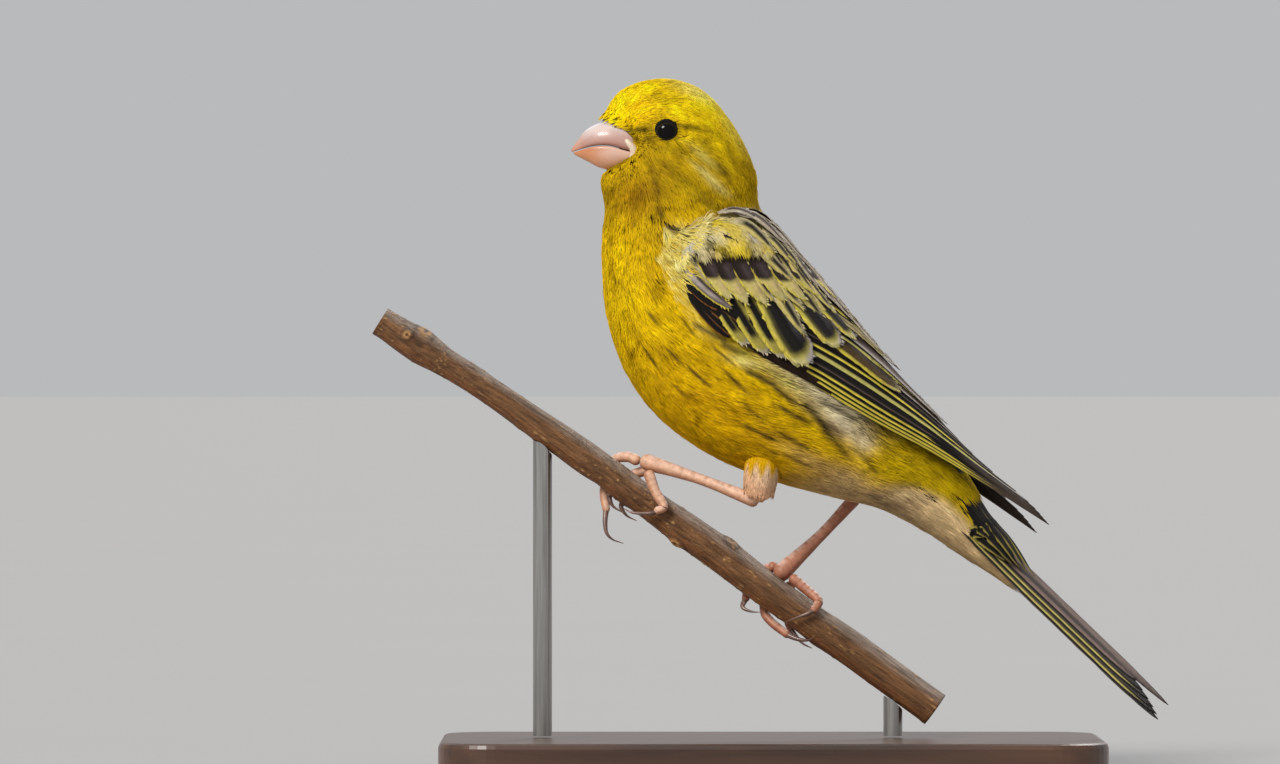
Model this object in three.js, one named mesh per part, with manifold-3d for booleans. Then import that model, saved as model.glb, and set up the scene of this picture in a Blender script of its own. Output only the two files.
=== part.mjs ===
// A life-size canary that grips a short length of branch, held by a small display stand.
// Millimetres, +Z up. The bird faces -X and its left side is toward -Y.
// The origin is the middle of the underside of the stand's base.

import * as THREE from "three";
import { mergeVertices } from "three/addons/utils/BufferGeometryUtils.js";
import Module from "manifold-3d";

const wasm = await Module();
wasm.setup();

// Driving dimensions

const GAP = 0.3; // left between pieces that touch
const CUT_GROWTH = 0.4; // how far a neighbour is grown before it is cut away

// The body's outline, a fan of planes from bill to tail.
// Each has a point on the throat or belly, a point on the crown or back, a half width, and on the face a
// sweep, how much further back its sides lie than its middle.
const BODY_SECTIONS = [
  { belly: [-26.4, 95.1], back: [-26.3, 104.2], half: 3.9, sweep: 5.0 },
  { belly: [-26.7, 93.9], back: [-23.2, 107.8], half: 5.1, sweep: 4.6 },
  { belly: [-26.7, 92.5], back: [-17.1, 109.4], half: 6.3, sweep: 3.2 },
  { belly: [-26.4, 90.9], back: [-10.7, 107.4], half: 7.2, sweep: 1.4 },
  { belly: [-26.1, 89.3], back: [-5.5, 101.1], half: 8.1, sweep: 0.3 },
  { belly: [-26.2, 87.6], back: [-2.7, 94.8], half: 8.9, sweep: 0 },
  { belly: [-26.5, 84.2], back: [-2.2, 89.6], half: 9.7, sweep: 0 },
  { belly: [-26.4, 77.8], back: [0.4, 86.0], half: 11.3, sweep: 0 },
  { belly: [-25.5, 71.0], back: [3.6, 81.4], half: 12.4, sweep: 0 },
  { belly: [-22.6, 63.0], back: [7.3, 76.0], half: 12.9, sweep: 0 },
  { belly: [-17.5, 56.3], back: [11.4, 69.6], half: 12.6, sweep: 0 },
  { belly: [-9.7, 50.6], back: [16.6, 63.0], half: 11.6, sweep: 0 },
  { belly: [-0.5, 46.7], back: [22.0, 56.8], half: 9.8, sweep: 0 },
  { belly: [9.1, 44.1], back: [26.4, 52.2], half: 7.9, sweep: 0 },
  { belly: [17.0, 42.1], back: [29.8, 48.4], half: 6.1, sweep: 0 },
  { belly: [24.0, 38.6], back: [32.6, 44.0], half: 4.7, sweep: 0 },
  { belly: [28.7, 35.5], back: [34.3, 40.6], half: 3.6, sweep: 0 },
];
const BODY_SIDES = 24; // points round each section
const BODY_STEPS = 2; // rings for each section of the list
const WIDEST_DROP = 0.08; // how far below its middle a section is widest, as a share of its height
const NECK_FROM = 3.6; // places of the cuts between head, neck, torso and tail, by section
const TORSO_FROM = 6.2;
const TAIL_FROM = 13.6;

// The eye
const EYE_X = -16.5;
const EYE_Z = 101.0;
const EYE_RADIUS = 2.3;
const EYE_STANDS_OUT = 0.75; // how far the eyeball shows beyond the side of the head
const LID_RING = 1.95; // middle radius of the lids
const LID_THICKNESS = 0.42;
const LID_STRETCH = [1.08, 1, 0.92]; // the lids' opening is a little longer than it is high
const EYE_FACETS = { wide: 16, high: 10 };

// The bill, from the face to the tip
const CULMEN = [[-22.6, 104.2], [-24.6, 103.6], [-26.1, 103.0], [-27.9, 102.0], [-29.6, 100.6], [-31.6, 98.2]];
const MOUTH = [[-20.6, 97.7], [-23.2, 98.3], [-25.4, 98.9], [-27.6, 98.9], [-29.4, 98.5], [-31.3, 97.9]];
const GONYS = [[-20.6, 95.6], [-22.6, 95.5], [-24.8, 95.2], [-26.8, 95.4], [-28.8, 96.4], [-30.9, 97.5]];
const BILL_HALF_WIDTHS = [3.5, 3.3, 3.0, 2.4, 1.5, 0.25];
const NOSTRIL = { x: -24.7, y: 2.35, z: 101.6, radius: 0.5 };

// The folded wing is a sheet between its lower edge and its upper edge.
const WING_STATIONS = [
  { low: [-15.1, 81.6], lowY: 11.3, high: [-11.6, 86.2], highY: 9.9 },
  { low: [-11.3, 73.2], lowY: 12.9, high: [-3.8, 87.2], highY: 5.8 },
  { low: [-4.2, 66.9], lowY: 13.0, high: [4.2, 79.0], highY: 2.9 },
  { low: [5.4, 61.6], lowY: 11.9, high: [12.1, 69.8], highY: 2.5 },
  { low: [15.5, 56.0], lowY: 9.9, high: [20.2, 60.7], highY: 2.2 },
  { low: [23.9, 51.4], lowY: 7.9, high: [26.9, 53.6], highY: 1.9 },
  { low: [32.0, 46.4], lowY: 5.9, high: [33.7, 47.4], highY: 1.8 },
  { low: [43.2, 39.4], lowY: 3.9, high: [43.6, 39.9], highY: 2.9 },
];
const WING_CORE = {
  inner: 1.3, // how deep it lies under the sheet, where it meets the body
  lowest: 0.03,
  highest: 0.97,
  across: 6,
  // Places along the wing and how far the core stands out there
  profile: [[0, 0.9], [0.06, 1.1], [0.13, 1.1], [0.2, 1.0], [0.27, 0.8], [0.36, 0.4], [0.46, 0.15], [0.62, 0.1],
    [0.78, 0.05]],
};
const VANE_THICKNESS = 0.55;
const TIP_THINNING = 0.6; // thickness of the last tenth of a vane, as a share of the rest
const ROOT_DEPTH = -0.2; // how deep a feather's root lies under the wing's sheet
const RISE_OVER = 0.35; // the share of its length over which a feather rises to its layer
const WING_SEED = 11;
const TIP_SCATTER = 0.012; // how unevenly the tips of a row lie, as a share of the wing's length
// A vane's outline: places along it and shares of its full half width
const LONG_VANE = [[0, 0.6], [0.4, 1], [0.8, 0.88], [0.95, 0.5], [1, 0.16]];
const SHORT_VANE = [[0, 0.85], [0.6, 1], [0.88, 0.72], [1, 0.2]];
// Rows of feathers on the wing, from the lowest layer to the highest.
// Pairs run from the row's lower end to its upper end; places are shares of the wing's length and height.
const WING_ROWS = [
  { name: "primaries", count: 8, rootAlong: [0.26, 0.3], rootAcross: [0.06, 0.42], tipAlong: [0.985, 0.85],
    tipAcross: [0.1, 0.8], half: [1.5, 1.7], level: [0.15, 0.75], tilt: 0.13, outline: LONG_VANE },
  { name: "secondaries", count: 5, rootAlong: [0.32, 0.36], rootAcross: [0.46, 0.78], tipAlong: [0.78, 0.67],
    tipAcross: [0.76, 0.98], half: [1.9, 2.0], level: [0.8, 0.95], tilt: 0.13, outline: LONG_VANE },
  { name: "tertials", count: 3, rootAlong: [0.34, 0.34], rootAcross: [0.74, 0.9], tipAlong: [0.6, 0.52],
    tipAcross: [0.84, 0.97], half: [2.5, 2.3], level: [1.1, 1.2], tilt: 0.12, outline: SHORT_VANE },
  { name: "greater_coverts", count: 6, rootAlong: [0.16, 0.28], rootAcross: [0.08, 0.84],
    tipAlong: [0.31, 0.46], tipAcross: [0.12, 0.88], half: [1.9, 2.2], level: [0.9, 1.3], tilt: 0.14,
    outline: SHORT_VANE },
  { name: "median_coverts", count: 5, rootAlong: [0.03, 0.15], rootAcross: [0.14, 0.86], tipAlong: [0.19, 0.33],
    tipAcross: [0.16, 0.88], half: [2.1, 2.4], level: [1.35, 1.6], tilt: 0.12, outline: SHORT_VANE },
];
const FAR_WING_TIP_SHIFT = [-1.6, -1.4]; // the right wing's tip lies a little short of the left one's

// The tail, along its own axis
const TAIL_ROOT = [29.6, 39.6];
const TAIL_SLOPE = THREE.MathUtils.degToRad(44.1);
const TAIL_ROLL = THREE.MathUtils.degToRad(20);
const TAIL_LENGTH = 43.4;
const TAIL_FEATHERS = 12;
const TAIL_FORK = 7.5; // how much shorter the middle feathers are than the outer ones
const TAIL_FORK_CURVE = 1.4;
const TAIL_VANE_HALF = 2.1;
const TAIL_TIP_SPACING = 0.62; // between the middle lines of neighbouring feathers at the tips
const TAIL_ROOT_SHARE = 0.85; // how close together the roots are, as a share of the tips' spacing
const TAIL_RAISE = 1.8; // how far the middle feathers lie above the tail's axis
const TAIL_LAYER = 0.12; // how far each feather lies below its inner neighbour
const TAIL_TILT = 0.03; // how far the feathers' outer edges turn down, in radians
// The tail's core: distance along, half width, and the levels of its top and its underside
const TAIL_CORE = [[-3, 3.2, 2.4, -1.8], [6, 3.0, 2.0, -1.5], [14, 2.4, 1.4, -0.1], [22, 1.8, 1.3, 0.8]];
const TAIL_CORE_CROWN = 0.4; // how much fuller the core is along its middle
const COVERT_ROLL = 0.9; // how far the outermost coverts turn down round the root, in radians a row
// Coverts: count, width they spread over, start and end along the tail, distance from its axis at root
// and tip, half width, and the side, 1 above the tail and -1 under it
const TAIL_COVERTS = [
  { count: 5, spread: 5.6, from: -2, to: 13, rise: [1.3, 0.3], half: 1.7, side: -1 },
  { count: 3, spread: 4.0, from: -5, to: 7, rise: [2.2, 2.0], half: 1.9, side: -1 },
  { count: 5, spread: 4.6, from: -6, to: 12, rise: [2.8, 2.3], half: 1.8, side: 1 },
  { count: 3, spread: 4.4, from: -8, to: 4, rise: [3.4, 3.2], half: 2.0, side: 1 },
];

// Branch: centre line and radius from its upper end to its lower end
const BRANCH = [
  { x: -61.5, z: 71.4, radius: 2.3 },
  { x: -55.6, z: 67.7, radius: 2.6 },
  { x: -50.0, z: 64.2, radius: 2.2 },
  { x: -42.7, z: 59.5, radius: 2.2 },
  { x: -30.1, z: 50.6, radius: 2.5 },
  { x: -23.6, z: 46.0, radius: 2.5 },
  { x: -16.8, z: 41.0, radius: 2.5 },
  { x: -8.2, z: 34.8, radius: 2.75 },
  { x: 2.8, z: 26.7, radius: 2.6 },
  { x: 12.2, z: 20.1, radius: 2.7 },
  { x: 25.6, z: 10.4, radius: 2.8 },
];
const BRANCH_SIDES = 14;
const BRANCH_STEPS = 24;

// Stand
const BASE = { length: 104, depth: 56, height: 6, corner: 9, bevel: 0.8, bevelSteps: 2, cornerSteps: 5 };
const ROD_RADIUS = 1.5;
const ROD_PLACES = { stand_rod_front: -36, stand_rod_back: 19 };

// Materials

const FINISHES = {
  plumage: { color: 0xd9b21c, roughness: 0.85, metalness: 0 },
  wing: { color: 0x3b3228, roughness: 0.7, metalness: 0 },
  bill: { color: 0xe0b6a4, roughness: 0.45, metalness: 0 },
  eye: { color: 0x080706, roughness: 0.08, metalness: 0 },
  skin: { color: 0xb98a7a, roughness: 0.55, metalness: 0 },
  claw: { color: 0x6f5348, roughness: 0.4, metalness: 0 },
  bark: { color: 0x8a5a3a, roughness: 0.85, metalness: 0 },
  base: { color: 0x3c2c22, roughness: 0.5, metalness: 0 },
  rod: { color: 0xb9b7b0, roughness: 0.35, metalness: 0.9 },
};

// Solids and meshes

function solidFrom(geometry) {
  geometry.deleteAttribute("normal");
  geometry.deleteAttribute("uv");
  const merged = mergeVertices(geometry, 1e-4);
  return new wasm.Manifold(new wasm.Mesh({
    numProp: 3,
    vertProperties: new Float32Array(merged.attributes.position.array),
    triVerts: new Uint32Array(merged.index.array),
  }));
}

// Only the largest closed surface of a solid is kept.
function largestBody(solid) {
  let best = null;
  for (const piece of solid.decompose()) {
    if (!best || piece.volume() > best.volume()) {
      best = piece;
    }
  }
  return best;
}

function geometryFrom(solid) {
  const mesh = largestBody(solid).getMesh();
  const geometry = new THREE.BufferGeometry();
  geometry.setAttribute("position", new THREE.BufferAttribute(new Float32Array(mesh.vertProperties), 3));
  geometry.setIndex(new THREE.BufferAttribute(new Uint32Array(mesh.triVerts), 1));
  geometry.computeVertexNormals();
  return geometry;
}

// A closed surface through rings that all have the same number of points.
function loft(rings) {
  const sides = rings[0].length;
  const positions = [];
  const index = [];
  for (const ring of rings) {
    for (const point of ring) {
      positions.push(point.x, point.y, point.z);
    }
  }
  for (let k = 0; k + 1 < rings.length; k += 1) {
    for (let i = 0; i < sides; i += 1) {
      const a = k * sides + i;
      const b = k * sides + (i + 1) % sides;
      index.push(a, b, b + sides, a, b + sides, a + sides);
    }
  }
  for (const end of [0, rings.length - 1]) {
    const middle = new THREE.Vector3();
    rings[end].forEach((point) => middle.add(point));
    middle.divideScalar(sides);
    const hub = positions.length / 3;
    positions.push(middle.x, middle.y, middle.z);
    for (let i = 0; i < sides; i += 1) {
      const a = end * sides + i;
      const b = end * sides + (i + 1) % sides;
      index.push(...(end === 0 ? [hub, b, a] : [hub, a, b]));
    }
  }
  const geometry = new THREE.BufferGeometry();
  geometry.setAttribute("position", new THREE.Float32BufferAttribute(positions, 3));
  geometry.setIndex(index);
  return facingOut(geometry);
}

// Turns a closed surface's faces outward.
function facingOut(geometry) {
  const p = geometry.attributes.position.array;
  const index = geometry.index.array;
  let volume = 0;
  for (let i = 0; i < index.length; i += 3) {
    const [a, b, c] = [index[i] * 3, index[i + 1] * 3, index[i + 2] * 3];
    volume += p[a] * (p[b + 1] * p[c + 2] - p[b + 2] * p[c + 1]);
    volume += p[a + 1] * (p[b + 2] * p[c] - p[b] * p[c + 2]);
    volume += p[a + 2] * (p[b] * p[c + 1] - p[b + 1] * p[c]);
  }
  if (volume < 0) {
    for (let i = 0; i < index.length; i += 3) {
      [index[i + 1], index[i + 2]] = [index[i + 2], index[i + 1]];
    }
  }
  return geometry;
}

// Numbers between 0 and 1 that are the same on every run.
function seededDraw(seed) {
  let state = seed;
  return () => {
    state = (Math.imul(state, 1664525) + 1013904223) >>> 0;
    return state / 4294967296;
  };
}

function mirrored(geometry) {
  geometry.scale(1, -1, 1);
  return facingOut(geometry);
}

function sideLine(points, y = 0) {
  const places = points.map(([x, z]) => new THREE.Vector3(x, y, z));
  return new THREE.CatmullRomCurve3(places, false, "catmullrom", 0.5);
}

function numberLine(values) {
  const places = values.map((v) => new THREE.Vector3(v, 0, 0));
  const curve = new THREE.CatmullRomCurve3(places, false, "catmullrom", 0.5);
  return (share) => curve.getPoint(share).x;
}

// Rings that round off a tube's end: share of the radius, and reach beyond the end in radii
const ROUNDING = [[0.35, 0.85], [0.8, 0.5]];

// A round tube along points, with a radius at each; its ends are rounded off.
function limb(points, radii, { sides, steps, grow = 0 }) {
  const line = new THREE.CatmullRomCurve3(points.map((p) => new THREE.Vector3(...p)), false, "centripetal");
  const radiusAt = numberLine(radii);
  const rings = [];
  const ringAt = (share, scale, shift) => {
    const centre = line.getPoint(share);
    const along = line.getTangent(share);
    centre.addScaledVector(along, shift);
    const across = new THREE.Vector3(0, 1, 0).addScaledVector(along, -along.y).normalize();
    const up = new THREE.Vector3().crossVectors(along, across);
    const radius = (radiusAt(share) + grow) * scale;
    const ring = [];
    for (let i = 0; i < sides; i += 1) {
      const angle = (i / sides) * 2 * Math.PI;
      ring.push(centre.clone()
        .addScaledVector(across, radius * Math.cos(angle))
        .addScaledVector(up, radius * Math.sin(angle)));
    }
    return ring;
  };
  const startRadius = radiusAt(0) + grow;
  const endRadius = radiusAt(1) + grow;
  for (const [scale, reach] of ROUNDING) {
    rings.push(ringAt(0, scale, -startRadius * reach));
  }
  for (let k = 0; k <= steps; k += 1) {
    rings.push(ringAt(k / steps, 1, 0));
  }
  for (const [scale, reach] of [...ROUNDING].reverse()) {
    rings.push(ringAt(1, scale, endRadius * reach));
  }
  return loft(rings);
}

// Body

const LAST_SECTION = BODY_SECTIONS.length - 1;
const bellyLine = sideLine(BODY_SECTIONS.map((s) => s.belly));
const backLine = sideLine(BODY_SECTIONS.map((s) => s.back));
const halfWidthAt = numberLine(BODY_SECTIONS.map((s) => s.half));
const sweepAt = numberLine(BODY_SECTIONS.map((s) => s.sweep));

// One ring of the body at a section number, moved along the bird by shift.
function bodyRing(section, grow, shift) {
  const share = section / LAST_SECTION;
  const belly = bellyLine.getPoint(share);
  const back = backLine.getPoint(share);
  const middle = belly.clone().add(back).multiplyScalar(0.5);
  const up = back.clone().sub(belly);
  const height = up.length() / 2;
  up.normalize();
  const along = new THREE.Vector3(0, 1, 0).cross(up);
  const halfWidth = halfWidthAt(share) + grow;
  const sweep = sweepAt(share);
  const ring = [];
  for (let i = 0; i < BODY_SIDES; i += 1) {
    const angle = (i / BODY_SIDES) * 2 * Math.PI;
    const side = Math.sin(angle);
    const rise = Math.cos(angle) * (height + grow) - WIDEST_DROP * height * side * side;
    ring.push(middle.clone()
      .addScaledVector(up, rise)
      .addScaledVector(along, shift + sweep * side * side)
      .add(new THREE.Vector3(0, side * halfWidth, 0)));
  }
  return ring;
}

// The body between two section numbers, with half the gap taken off at each cut end.
function bodyLength(from, to, grow = 0) {
  const rings = [];
  const cutFrom = from > 0 ? GAP / 2 : 0;
  const cutTo = to < LAST_SECTION ? -GAP / 2 : 0;
  const step = 1 / BODY_STEPS;
  rings.push(bodyRing(from, grow, cutFrom));
  for (let section = Math.floor(from / step) * step + step; section < to - step / 4; section += step) {
    if (section - from > step / 4) {
      rings.push(bodyRing(section, grow, 0));
    }
  }
  rings.push(bodyRing(to, grow, cutTo));
  return loft(rings);
}

function bodySolid(from, to, grow = 0) {
  return solidFrom(bodyLength(from, to, grow));
}

const wholeBodyGrown = bodySolid(0, LAST_SECTION, CUT_GROWTH);

// Bill

const culmenLine = sideLine(CULMEN);
const mouthLine = sideLine(MOUTH);
const gonysLine = sideLine(GONYS);
const billHalfAt = numberLine(BILL_HALF_WIDTHS);
const BILL_STEPS = 9;
const BILL_SIDES = 10;

// Half of the bill, between the line of the mouth and an outer line.
function mandible(outerLine, narrower, grow) {
  const rings = [];
  for (let k = 0; k <= BILL_STEPS; k += 1) {
    const share = k / BILL_STEPS;
    const outer = outerLine.getPoint(share);
    const mouth = mouthLine.getPoint(share);
    const up = outer.clone().sub(mouth);
    const height = Math.max(up.length() - GAP / 2, 0.12);
    up.normalize();
    const half = Math.max(billHalfAt(share) * narrower, 0.15);
    const ring = [];
    for (let i = 0; i <= BILL_SIDES; i += 1) {
      const angle = (i / BILL_SIDES) * Math.PI;
      ring.push(mouth.clone()
        .addScaledVector(up, GAP / 2 - grow + Math.sin(angle) * (height + 2 * grow))
        .add(new THREE.Vector3(0, Math.cos(angle) * (half + grow), 0)));
    }
    rings.push(ring);
  }
  return solidFrom(loft(rings));
}

const NARROWER_BELOW = 0.9; // the lower half is a little narrower than the upper one
const upperBill = mandible(culmenLine, 1, 0);
const lowerBill = mandible(gonysLine, NARROWER_BELOW, 0);
const grownBill = mandible(culmenLine, 1, GAP).add(mandible(gonysLine, NARROWER_BELOW, GAP));

function ball(x, y, z, radius, wide, high) {
  const geometry = new THREE.SphereGeometry(radius, wide, high);
  geometry.translate(x, y, z);
  return solidFrom(geometry);
}

function billUpper() {
  const nostrils = [-1, 1].map((side) => ball(NOSTRIL.x, side * NOSTRIL.y, NOSTRIL.z, NOSTRIL.radius, 8, 6));
  return upperBill.subtract(nostrils[0]).subtract(nostrils[1]);
}

// Eyes

// How far the side of the head stands from the middle plane at the eye.
function headSideAtEye() {
  let nearest = 0;
  let best = Infinity;
  for (let section = 1; section < NECK_FROM; section += 0.05) {
    for (const point of bodyRing(section, 0, 0)) {
      const distance = Math.hypot(point.x - EYE_X, point.z - EYE_Z);
      if (point.y > 0 && distance < best) {
        best = distance;
        nearest = point.y;
      }
    }
  }
  return nearest;
}

const eyeMiddleY = headSideAtEye() + EYE_STANDS_OUT - EYE_RADIUS;

function eyeball(side, grow = 0) {
  return ball(EYE_X, side * eyeMiddleY, EYE_Z, EYE_RADIUS + grow, EYE_FACETS.wide, EYE_FACETS.high);
}

function lidRing(side) {
  const ring = new THREE.TorusGeometry(LID_RING, LID_THICKNESS, 6, 16);
  ring.rotateX(Math.PI / 2);
  ring.scale(...LID_STRETCH);
  ring.translate(EYE_X, side * headSideAtEye(), EYE_Z);
  return solidFrom(ring);
}

function head() {
  let solid = bodySolid(0, NECK_FROM);
  for (const side of [-1, 1]) {
    solid = solid.add(lidRing(side));
  }
  for (const side of [-1, 1]) {
    solid = solid.subtract(eyeball(side, GAP));
  }
  return solid.subtract(grownBill);
}

// Wings

const LAST_STATION = WING_STATIONS.length - 1;

function wingEdges(side) {
  const shiftAt = (k) => (side > 0 ? (k / LAST_STATION) ** 2 : 0);
  const edge = (xz, y) => new THREE.CatmullRomCurve3(WING_STATIONS.map((s, k) => new THREE.Vector3(
    s[xz][0] + FAR_WING_TIP_SHIFT[0] * shiftAt(k),
    -s[y],
    s[xz][1] + FAR_WING_TIP_SHIFT[1] * shiftAt(k),
  )), false, "catmullrom", 0.5);
  return { low: edge("low", "lowY"), high: edge("high", "highY") };
}

// A point of the wing's sheet: along from the bend to the tip, across from lower to upper edge.
function wingPoint(edges, along, across) {
  const low = edges.low.getPoint(along);
  const high = edges.high.getPoint(along);
  const angle = across * Math.PI / 2;
  const rise = Math.sin(angle);
  const reach = Math.cos(angle);
  return new THREE.Vector3(
    low.x + (high.x - low.x) * rise,
    high.y + (low.y - high.y) * reach,
    low.z + (high.z - low.z) * rise,
  );
}

function wingOutward(edges, along, across) {
  const step = 0.01;
  const before = wingPoint(edges, Math.max(along - step, 0), across);
  const after = wingPoint(edges, Math.min(along + step, 1), across);
  const lower = wingPoint(edges, along, across - step);
  const upper = wingPoint(edges, along, across + step);
  const outward = after.sub(before).cross(upper.sub(lower)).normalize();
  return outward.y > 0 ? outward.negate() : outward;
}

// The flesh and small coverts of the wing, a sheet that the feathers are rooted in.
function wingCore(edges) {
  const rings = WING_CORE.profile.map(([along, outer]) => {
    const ring = [];
    for (const [level, turn] of [[outer, false], [-WING_CORE.inner, true]]) {
      for (let i = 0; i <= WING_CORE.across; i += 1) {
        const share = (turn ? WING_CORE.across - i : i) / WING_CORE.across;
        const across = THREE.MathUtils.lerp(WING_CORE.lowest, WING_CORE.highest, share);
        const point = wingPoint(edges, along, across);
        ring.push(point.addScaledVector(wingOutward(edges, along, across), level));
      }
    }
    return ring;
  });
  return solidFrom(loft(rings));
}

// One feather: a thin tapered vane along pointAt, facing outwardAt and turned by tilt about its length.
function vane(pointAt, outwardAt, halfWidth, tilt, outline) {
  const rings = outline.map(([share, wide]) => {
    const centre = pointAt(share);
    const step = 0.02;
    const along = pointAt(Math.min(share + step, 1)).sub(pointAt(Math.max(share - step, 0))).normalize();
    const outward = outwardAt(share);
    outward.addScaledVector(along, -outward.dot(along)).normalize();
    outward.applyAxisAngle(along, tilt);
    const across = new THREE.Vector3().crossVectors(outward, along).multiplyScalar(halfWidth * wide);
    const thickness = outward.multiplyScalar(VANE_THICKNESS / 2 * (share > 0.9 ? TIP_THINNING : 1));
    return [
      centre.clone().add(across).add(thickness),
      centre.clone().sub(across).add(thickness),
      centre.clone().sub(across).sub(thickness),
      centre.clone().add(across).sub(thickness),
    ];
  });
  return solidFrom(loft(rings));
}

// A row of feathers across the wing, each laid over the one below it.
function wingRow(edges, row, draw) {
  const feathers = [];
  for (let k = 0; k < row.count; k += 1) {
    const share = k / (row.count - 1);
    const mix = (pair) => pair[0] + (pair[1] - pair[0]) * share;
    const root = [mix(row.rootAlong), mix(row.rootAcross)];
    const tip = [mix(row.tipAlong) + (draw() - 0.5) * TIP_SCATTER, mix(row.tipAcross)];
    const level = mix(row.level);
    const place = (q) => [root[0] + (tip[0] - root[0]) * q, root[1] + (tip[1] - root[1]) * q];
    const outwardAt = (q) => wingOutward(edges, ...place(q));
    const pointAt = (q) => {
      const rise = THREE.MathUtils.lerp(ROOT_DEPTH, level, Math.min(q / RISE_OVER, 1));
      return wingPoint(edges, ...place(q)).addScaledVector(outwardAt(q), rise);
    };
    feathers.push(vane(pointAt, outwardAt, mix(row.half), row.tilt, row.outline));
  }
  return feathers;
}

function wing(side) {
  const edges = wingEdges(side);
  const draw = seededDraw(WING_SEED);
  let solid = wingCore(edges);
  for (const row of WING_ROWS) {
    for (const feather of wingRow(edges, row, draw)) {
      solid = solid.add(feather);
    }
  }
  const geometry = geometryFrom(solid.subtract(wholeBodyGrown));
  return side > 0 ? mirrored(geometry) : geometry;
}

// Tail

const tailAlong = new THREE.Vector3(Math.cos(TAIL_SLOPE), 0, -Math.sin(TAIL_SLOPE));
const tailNormal = new THREE.Vector3(Math.sin(TAIL_SLOPE), 0, Math.cos(TAIL_SLOPE));
const tailAcross = new THREE.Vector3(0, 1, 0).multiplyScalar(Math.cos(TAIL_ROLL))
  .addScaledVector(tailNormal, Math.sin(TAIL_ROLL));
const tailUp = new THREE.Vector3().crossVectors(tailAlong, tailAcross);

function tailPoint(along, across, rise) {
  return new THREE.Vector3(TAIL_ROOT[0], 0, TAIL_ROOT[1])
    .addScaledVector(tailAlong, along)
    .addScaledVector(tailAcross, across)
    .addScaledVector(tailUp, rise);
}

// The fleshy root of the tail, under its coverts.
function tailCore() {
  const rings = TAIL_CORE.map(([along, half, top, underside]) => [
    tailPoint(along, -half, underside),
    tailPoint(along, 0, underside - TAIL_CORE_CROWN),
    tailPoint(along, half, underside),
    tailPoint(along, half, top),
    tailPoint(along, 0, top + TAIL_CORE_CROWN),
    tailPoint(along, -half, top),
  ]);
  return solidFrom(loft(rings));
}

// A feather of the tail, between two places given as distance along, across and above its axis.
function tailVane(root, tip, halfWidth, tilt, outline) {
  const placeAt = (q) => tailPoint(...root.map((value, k) => value + (tip[k] - value) * q));
  return vane(placeAt, () => tailUp.clone(), halfWidth, tilt, outline);
}

// The flight feathers of the tail, the outer ones longer and each below its inner neighbour.
function tailFeathers() {
  const feathers = [];
  for (let k = 0; k < TAIL_FEATHERS; k += 1) {
    const place = k - (TAIL_FEATHERS - 1) / 2;
    const outerShare = Math.abs(place) / ((TAIL_FEATHERS - 1) / 2);
    const across = place * TAIL_TIP_SPACING;
    const length = TAIL_LENGTH - TAIL_FORK * (1 - outerShare) ** TAIL_FORK_CURVE;
    const level = TAIL_RAISE - TAIL_LAYER * (Math.abs(place) + (place > 0 ? 0.5 : 0));
    const tilt = -Math.sign(place) * TAIL_TILT;
    const root = [0, across * TAIL_ROOT_SHARE, level * TAIL_ROOT_SHARE];
    feathers.push(tailVane(root, [length, across, level], TAIL_VANE_HALF, tilt, LONG_VANE));
  }
  return feathers;
}

// Coverts above and below the root of the tail.
function tailCoverts(rows) {
  const feathers = [];
  for (const { count, spread, from, to, rise, half, side } of rows) {
    for (let k = 0; k < count; k += 1) {
      const place = count > 1 ? k / (count - 1) - 0.5 : 0;
      const root = [from, place * spread * 0.6, side * rise[0]];
      const tip = [to - Math.abs(place) * 2, place * spread, side * rise[1] * (1 - 0.3 * Math.abs(place))];
      feathers.push(tailVane(root, tip, half, -side * place * COVERT_ROLL, SHORT_VANE));
    }
  }
  return feathers;
}

function tail() {
  let solid = bodySolid(TAIL_FROM, LAST_SECTION).add(tailCore());
  for (const feather of [...tailFeathers(), ...tailCoverts(TAIL_COVERTS)]) {
    solid = solid.add(feather);
  }
  return solid.subtract(bodySolid(TORSO_FROM, TAIL_FROM, GAP));
}

// Branch

const LAST_KNOT = BRANCH.length - 1;
const branchLine = sideLine(BRANCH.map((b) => [b.x, b.z]));
const branchRadiusAt = numberLine(BRANCH.map((b) => b.radius));

// The place on the branch's axis with a given x, and the directions there.
function branchFrame(x) {
  let low = 0;
  let high = 1;
  for (let k = 0; k < 30; k += 1) {
    const middle = (low + high) / 2;
    if (branchLine.getPoint(middle).x < x) {
      low = middle;
    } else {
      high = middle;
    }
  }
  const along = branchLine.getTangent(low);
  return {
    centre: branchLine.getPoint(low),
    along,
    up: new THREE.Vector3(-along.z, 0, along.x),
    radius: branchRadiusAt(low),
  };
}

// A point near the branch: x along its axis, degrees round it from the top
// (negative toward the left side), and the height above the bark.
function byBranch(x, degrees, height) {
  const { centre, up, radius } = branchFrame(x);
  const angle = THREE.MathUtils.degToRad(degrees);
  const point = centre.clone()
    .addScaledVector(up, Math.cos(angle) * (radius + height))
    .add(new THREE.Vector3(0, Math.sin(angle) * (radius + height), 0));
  return [point.x, point.y, point.z];
}

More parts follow.
